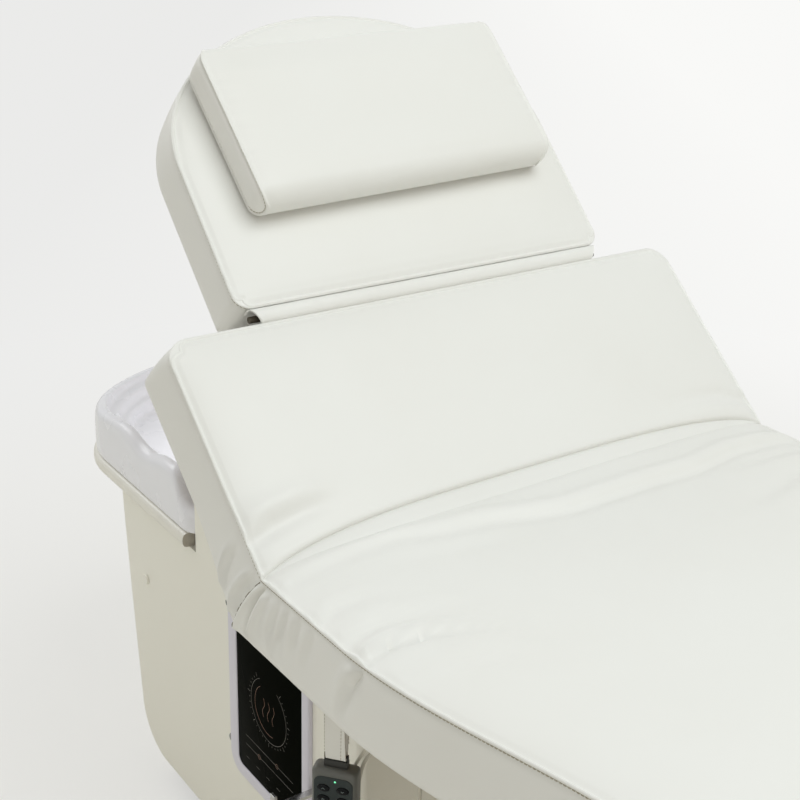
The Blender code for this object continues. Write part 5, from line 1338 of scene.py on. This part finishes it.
def panel():
    """Pale surround with a rolled outer edge and a bevelled window, and a black glass with a plain dial print."""
    rings = wall_rings(SURROUND, ((0.0, 0.0), (0.0, 0.0038), (-0.0006, 0.0050), (-0.0018, 0.0058), (-0.0034, 0.0060)))
    rings += wall_rings(WINDOW, ((0.0030, 0.0060), (0.0012, 0.0058), (0.0003, 0.0052), (0.0, 0.0044), (0.0, 0.0)))
    rings.append(rings[0])
    lofted(rings, "panel_surround", BEZEL, "base", "panel_bezel", 50.0, "joined")
    rings = wall_rings(GLASS_EDGE, ((0.0, 0.0), (0.0, 0.0043), (-0.0003, 0.0048), (-0.0009, 0.0050)))
    lofted(rings, "panel_touch_glass", GLASS, "base", "panel_glass", 40.0)

    def lines(*places):
        return [(WALL_X - 0.0049, y, z) for y, z in places]

    def around(centre, radius, turn):
        return centre[0] + radius * math.sin(turn), centre[1] + radius * math.cos(turn)

    def circle(centre, radius, start=0.0, finish=1.0, steps=40):
        turns = [math.tau * (start + (finish - start) * i / steps) for i in range(steps + 1)]
        return lines(*[around(centre, radius, turn) for turn in turns])

    cool = [circle(DIAL, 0.044, 0.08, 0.92)]
    for i in range(31):
        turn = math.tau * (0.10 + 0.80 * i / 30)
        cool.append(lines(*[around(DIAL, r, turn) for r in ((0.047, 0.0495) if i % 5 else (0.0465, 0.0525))]))
    warm = [circle(DIAL, 0.034, 0.10, 0.55)]
    for k in range(3):
        y, z = DIAL[0] - 0.012 + 0.012 * k, DIAL[1] - 0.014
        warm.append(lines(*[(y + 0.0028 * math.sin(i / 12 * math.tau), z + 0.028 * i / 12) for i in range(13)]))
    for k in range(4):
        y = SIGN_Y + SIGN_PITCH * k
        cool += [circle((y, z), 0.0062, steps=24) for z in (0.432, 0.412)]
        cool.append(lines((y - 0.003, 0.432), (y + 0.003, 0.432)))
        if k % 2:
            cool.append(lines((y, 0.429), (y, 0.435)))
        cool.append(circle((y, 0.412), 0.0022 + 0.0006 * k, steps=16))
    for k, z in enumerate((0.252, 0.238)):
        cool.append(lines((0.266, z), (0.386, z)))
        warm.append(circle((0.306 + 0.045 * k, z), 0.0032, steps=20))
    cool += [lines((0.273 + 0.026 * k, 0.218), (0.281 + 0.026 * k, 0.218)) for k in range(5)]
    threads("panel_print", cool, 0.00028, PRINT, "base")
    threads("panel_print_warm", warm, 0.00032, PRINT_WARM, "base")


# ---------------------------------------------------------------- strap, handset and lead

HANGER = Matrix.Translation((-0.335, 0.059, 0.4578)) @ Matrix.Rotation(math.radians(-50.0), 4, "Z")
HANDSET_TOP = 0.4437 - 0.4578
FRONT = -0.011
FACE_HALF = 0.0212
KEY_SIDE, KEY_TOP, KEY_PITCH = 0.0105, HANDSET_TOP - 0.0210, 0.0135


def hung(x, y, z):
    """A point in the hanging handset's own frame: X across it, Y into it, Z up, from the clip's bar."""
    return tuple(HANGER @ Vector((x, y, z)))


def oval(x, y, z, half_x, half_z, count):
    """An oval on the handset's front."""
    return [hung(x + half_x * math.cos(turn), y, z + half_z * math.sin(turn)) for turn in full_turn(count)]


def strap():
    """The strap with a row of stitches near each edge of both faces, and its clip."""
    refined("strap", LEATHER, 0.0004, 1, 50.0)
    runs = []
    for side in (-1, 1):
        for face in (-1, 1):
            for i in range(16):
                y, z = face * (0.013 + 0.00135), 0.072 - 0.0042 * i
                dips = ((0, -0.0002), (0.0014, 0.0002), (0.0028, -0.0002))
                runs.append([hung(side * 0.0088, y + face * lift, z - down) for down, lift in dips])
    threads("strap_stitches", runs, 0.0003, THREAD_AND_GROOVE_SHADE, "base")
    refined("strap_clip", DARK, 0.0005, 2)


def handset():
    """Housing, face plate with an opening for each key, domed keys with plain arrows, and a lamp."""
    refined("handset", GREY, 0.0006, 2, 40.0)
    points = rounded_rectangle((-FACE_HALF, HANDSET_TOP - 0.150), (FACE_HALF, HANDSET_TOP - 0.0068), 0.0085, 8)
    rings = []
    for grow, out in ((0.0, -0.0004), (0.0, 0.0003), (-0.0005, 0.0006)):
        rings.append([hung(x * (FACE_HALF + grow) / FACE_HALF, FRONT - out, z) for x, z in points])
    plate = lofted(rings, "handset_face", FACE, "remote", None, 40.0)
    keys = [(KEY_SIDE * column, KEY_TOP - KEY_PITCH * row) for row in range(3) for column in (-1, 1)]
    cutters = []
    for x, z in keys:
        bm = ring_loft([oval(x, FRONT + d, z, 0.0071, 0.0048, 24) for d in (-0.004, 0.004)])
        cutter = bpy.data.objects.new("opening", mesh_of(bm, "opening"))
        bpy.context.scene.collection.objects.link(cutter)
        cutters.append(cutter)
        hole = plate.modifiers.new("opening", "BOOLEAN")
        hole.object = cutter
        hole.operation = "DIFFERENCE"
    bpy.context.view_layer.update()
    plate.data = bpy.data.meshes.new_from_object(plate.evaluated_get(bpy.context.evaluated_depsgraph_get()))
    plate.modifiers.clear()
    for cutter in cutters:
        bpy.data.objects.remove(cutter, do_unlink=True)

    for number, (x, z) in enumerate(keys, 1):
        row = (number - 1) // 2
        rings = [
            oval(x, FRONT + depth, z, 0.0067 * size, 0.0044 * size, 28)
            for size, depth in ((1.0, 0.0021), (1.0, -0.0008), (0.95, -0.0014), (0.80, -0.0019), (0.45, -0.0022))
        ]
        node, body = "handset_button_%d" % number, "button_%d" % number
        lofted(rings, "key_%d" % number, KEY, body, node, 50.0)
        tip = 1 if number % 2 else -1
        marks = [((-0.0016, -0.0006), (0.0, 0.0010), (0.0016, -0.0006))]
        if row:
            marks.append(((-0.0009 * row, -0.0014), (0.0009 * row, -0.0014)))
        runs = [[hung(x + a, FRONT - 0.0022, z + tip * b) for a, b in mark] for mark in marks]
        threads("key_mark_%d" % number, runs, 0.00022, MARK, body)

    lamp, _, _ = new_paint(
        "green_lamp",
        {"Base Color": (0.05, 0.5, 0.22, 1.0), "Emission Color": (0.25, 1.0, 0.55, 1.0), "Emission Strength": 0.9,
         "Roughness": 0.2},
    )
    bm = bmesh.new()
    bmesh.ops.create_uvsphere(bm, u_segments=16, v_segments=8, radius=0.0011)
    bmesh.ops.scale(bm, vec=(1.0, 0.6, 1.0), verts=bm.verts)
    place = HANGER @ Matrix.Translation((0.002, FRONT - 0.0006, HANDSET_TOP - 0.0112))
    bmesh.ops.transform(bm, matrix=place, verts=bm.verts)
    made_piece(mesh_of(bm, "lamp"), "handset_lamp", lamp, "remote", None)


LEAD_ROUTE = (
    (-0.312, 0.022, 0.5205), (-0.312, 0.022, 0.510), (-0.3118, 0.0235, 0.500), (-0.311, 0.030, 0.485),
    (-0.310, 0.049, 0.455), (-0.309, 0.067, 0.420), (-0.306, 0.088, 0.340), (-0.303, 0.095, 0.250),
    (-0.300, 0.088, 0.170), (-0.298, 0.062, 0.125), (-0.296, 0.025, 0.132), (-0.294, -0.006, 0.190),
    (-0.292, -0.022, 0.300), (-0.291, -0.028, 0.400), (-0.291, -0.027, 0.480), (-0.292, -0.020, 0.506),
    (-0.294, -0.006, 0.5165), (-0.297, 0.008, 0.508), (-0.300, 0.020, 0.492), (-0.303, 0.041, 0.460),
    (-0.303, 0.060, 0.424), (-0.303, 0.076, 0.340), (-0.308, 0.078, 0.270), (-0.318, 0.074, 0.222),
    (-0.329, 0.066, 0.211), (-0.335, 0.059, 0.228), (-0.335, 0.059, 0.250), (-0.335, 0.059, 0.2704),
)


def smooth_route(route, each=8):
    """A smooth line through all points of a route."""
    points = [Vector(p) for p in route]
    padded = [points[0] * 2 - points[1]] + points + [points[-1] * 2 - points[-2]]
    line = []
    for a, b, c, d in zip(padded, padded[1:], padded[2:], padded[3:]):
        for i in range(each):
            t = i / each
            curve = b * 2 + (c - a) * t + (a * 2 - b * 5 + c * 4 - d) * t**2 + (b * 3 - a - c * 3 + d) * t**3
            line.append(0.5 * curve)
    line.append(points[-1])
    return line


def handset_lead():
    """The lead from its gland under the seat to the handset."""
    (x0, y0, low), (x1, y1, top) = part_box("cable_gland")
    middle = ((x0 + x1) / 2, (y0 + y1) / 2)
    rings = []
    for radius, drop in (
        (0.0050, 0.0), (0.0069, 0.0002), (0.0069, 0.0030), (0.0062, 0.0036), (0.0046, 0.0040), (0.0044, 0.0052),
        (0.0048, 0.0058), (0.0040, 0.0066), (0.0038, 0.0078), (0.0042, 0.0084), (0.0034, 0.0092), (0.0032, 0.0104),
        (0.0036, 0.0110), (0.0028, 0.0120), (0.0026, top - low),
    ):
        rings.append(
            [(middle[0] + radius * math.cos(a), middle[1] + radius * math.sin(a), top - drop) for a in full_turn(24)]
        )
    gland = lofted(rings, "lead_gland", DARK, "base", "cable_gland", 50.0)
    path = smooth_route(LEAD_ROUTE)
    path[0] = Vector((middle[0], middle[1], low))
    lead = threads("handset_lead", [path], 0.002, CORD, None, sides=3)
    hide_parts("handset_cable")
    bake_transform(lead)


# ---------------------------------------------------------------- pieces that keep the frame's shape


PLAIN_PARTS = (
    (STEEL, "frame_steel", 0.0015, "head_column foot_column"),
    (STEEL, "frame_steel", 0.0006, "seat_rail_left seat_rail_right"),
    (BRIGHT, "bright_steel", 0.0008, "seat_cross_head"),
    (STEEL, "frame_steel", 0.0008, "seat_cross_foot"),
    (STEEL, "frame_steel", 0.0006, "back_bracket_left back_bracket_right"),
    (STEEL, "frame_steel", 0.0008, "back_crossbar"),
    # The hinge rod is bright steel; its dark brown finish is painted shade.
    (HINGE_ROD_SHADE, "bright_steel", 0.0006, "head_hinge_rod"),
    (STEEL, "frame_steel", 0.0005, "head_hinge_leaf"),
    (STEEL, "frame_steel", 0.0008, "leg_frame"),
    (BRIGHT, "bright_steel", 0.0006, "leg_hinge_rod"),
    (PLYWOOD, "plywood", 0.0008, "seat_board back_board head_board leg_board"),
    (SHELL, "shell_paint", 0.0012, "foot_cover"),
    (SHELL, "shell_paint", 0.0004, "wall_cap"),
    (CHROME, "chrome", 0.0003, "basin_strainer"),
    # The upper screw is chrome like the lower one; the dark plastic finish is a painted dark reflection of the
    # cushion's underside and its shade.
    (DARK, "chrome", 0.0005, "panel_screw_upper"),
    (CAP_CHROME, "chrome", 0.0005, "panel_screw_lower"),
    (HOOK_STEEL, "chrome", 0.0006, "handset_hook"),
    (PIPE, "grey_plastic", 0.0004, "waste_pipe"),
    (TANK, "grey_plastic", 0.0015, "water_tank"),
    (PUMP, "dark_plastic", 0.0020, "circulation_pump"),
    (BRIGHT, "bright_steel", 0.0020, "water_heater"),
    (DARK, "dark_plastic", 0.0015, "control_box"),
    (DARK, "dark_plastic", 0.0005, "power_inlet"),
    (DARK, "dark_plastic", 0.0004, "cable_clip"),
    (RUBBER, "foot_rubber", 0.0015, "level_foot_1 level_foot_2 level_foot_3 level_foot_4"),
    (DARK, "dark_plastic", 0.0010, "back_actuator_body leg_actuator_body"),
    (ROD_STEEL, "bright_steel", 0.0006, "back_actuator_rod leg_actuator_rod"),
)

photo_camera()
studio()
handset_lead()
seat_and_back()
head_section()
pillow()
leg_section()
hinge_flap()
wash_basin()
trim_band()
cabinet()
panel()
strap()
handset()
for finish, slot, edge, nodes in PLAIN_PARTS:
    for part in nodes.split():
        refined(part, finish, edge, 2)
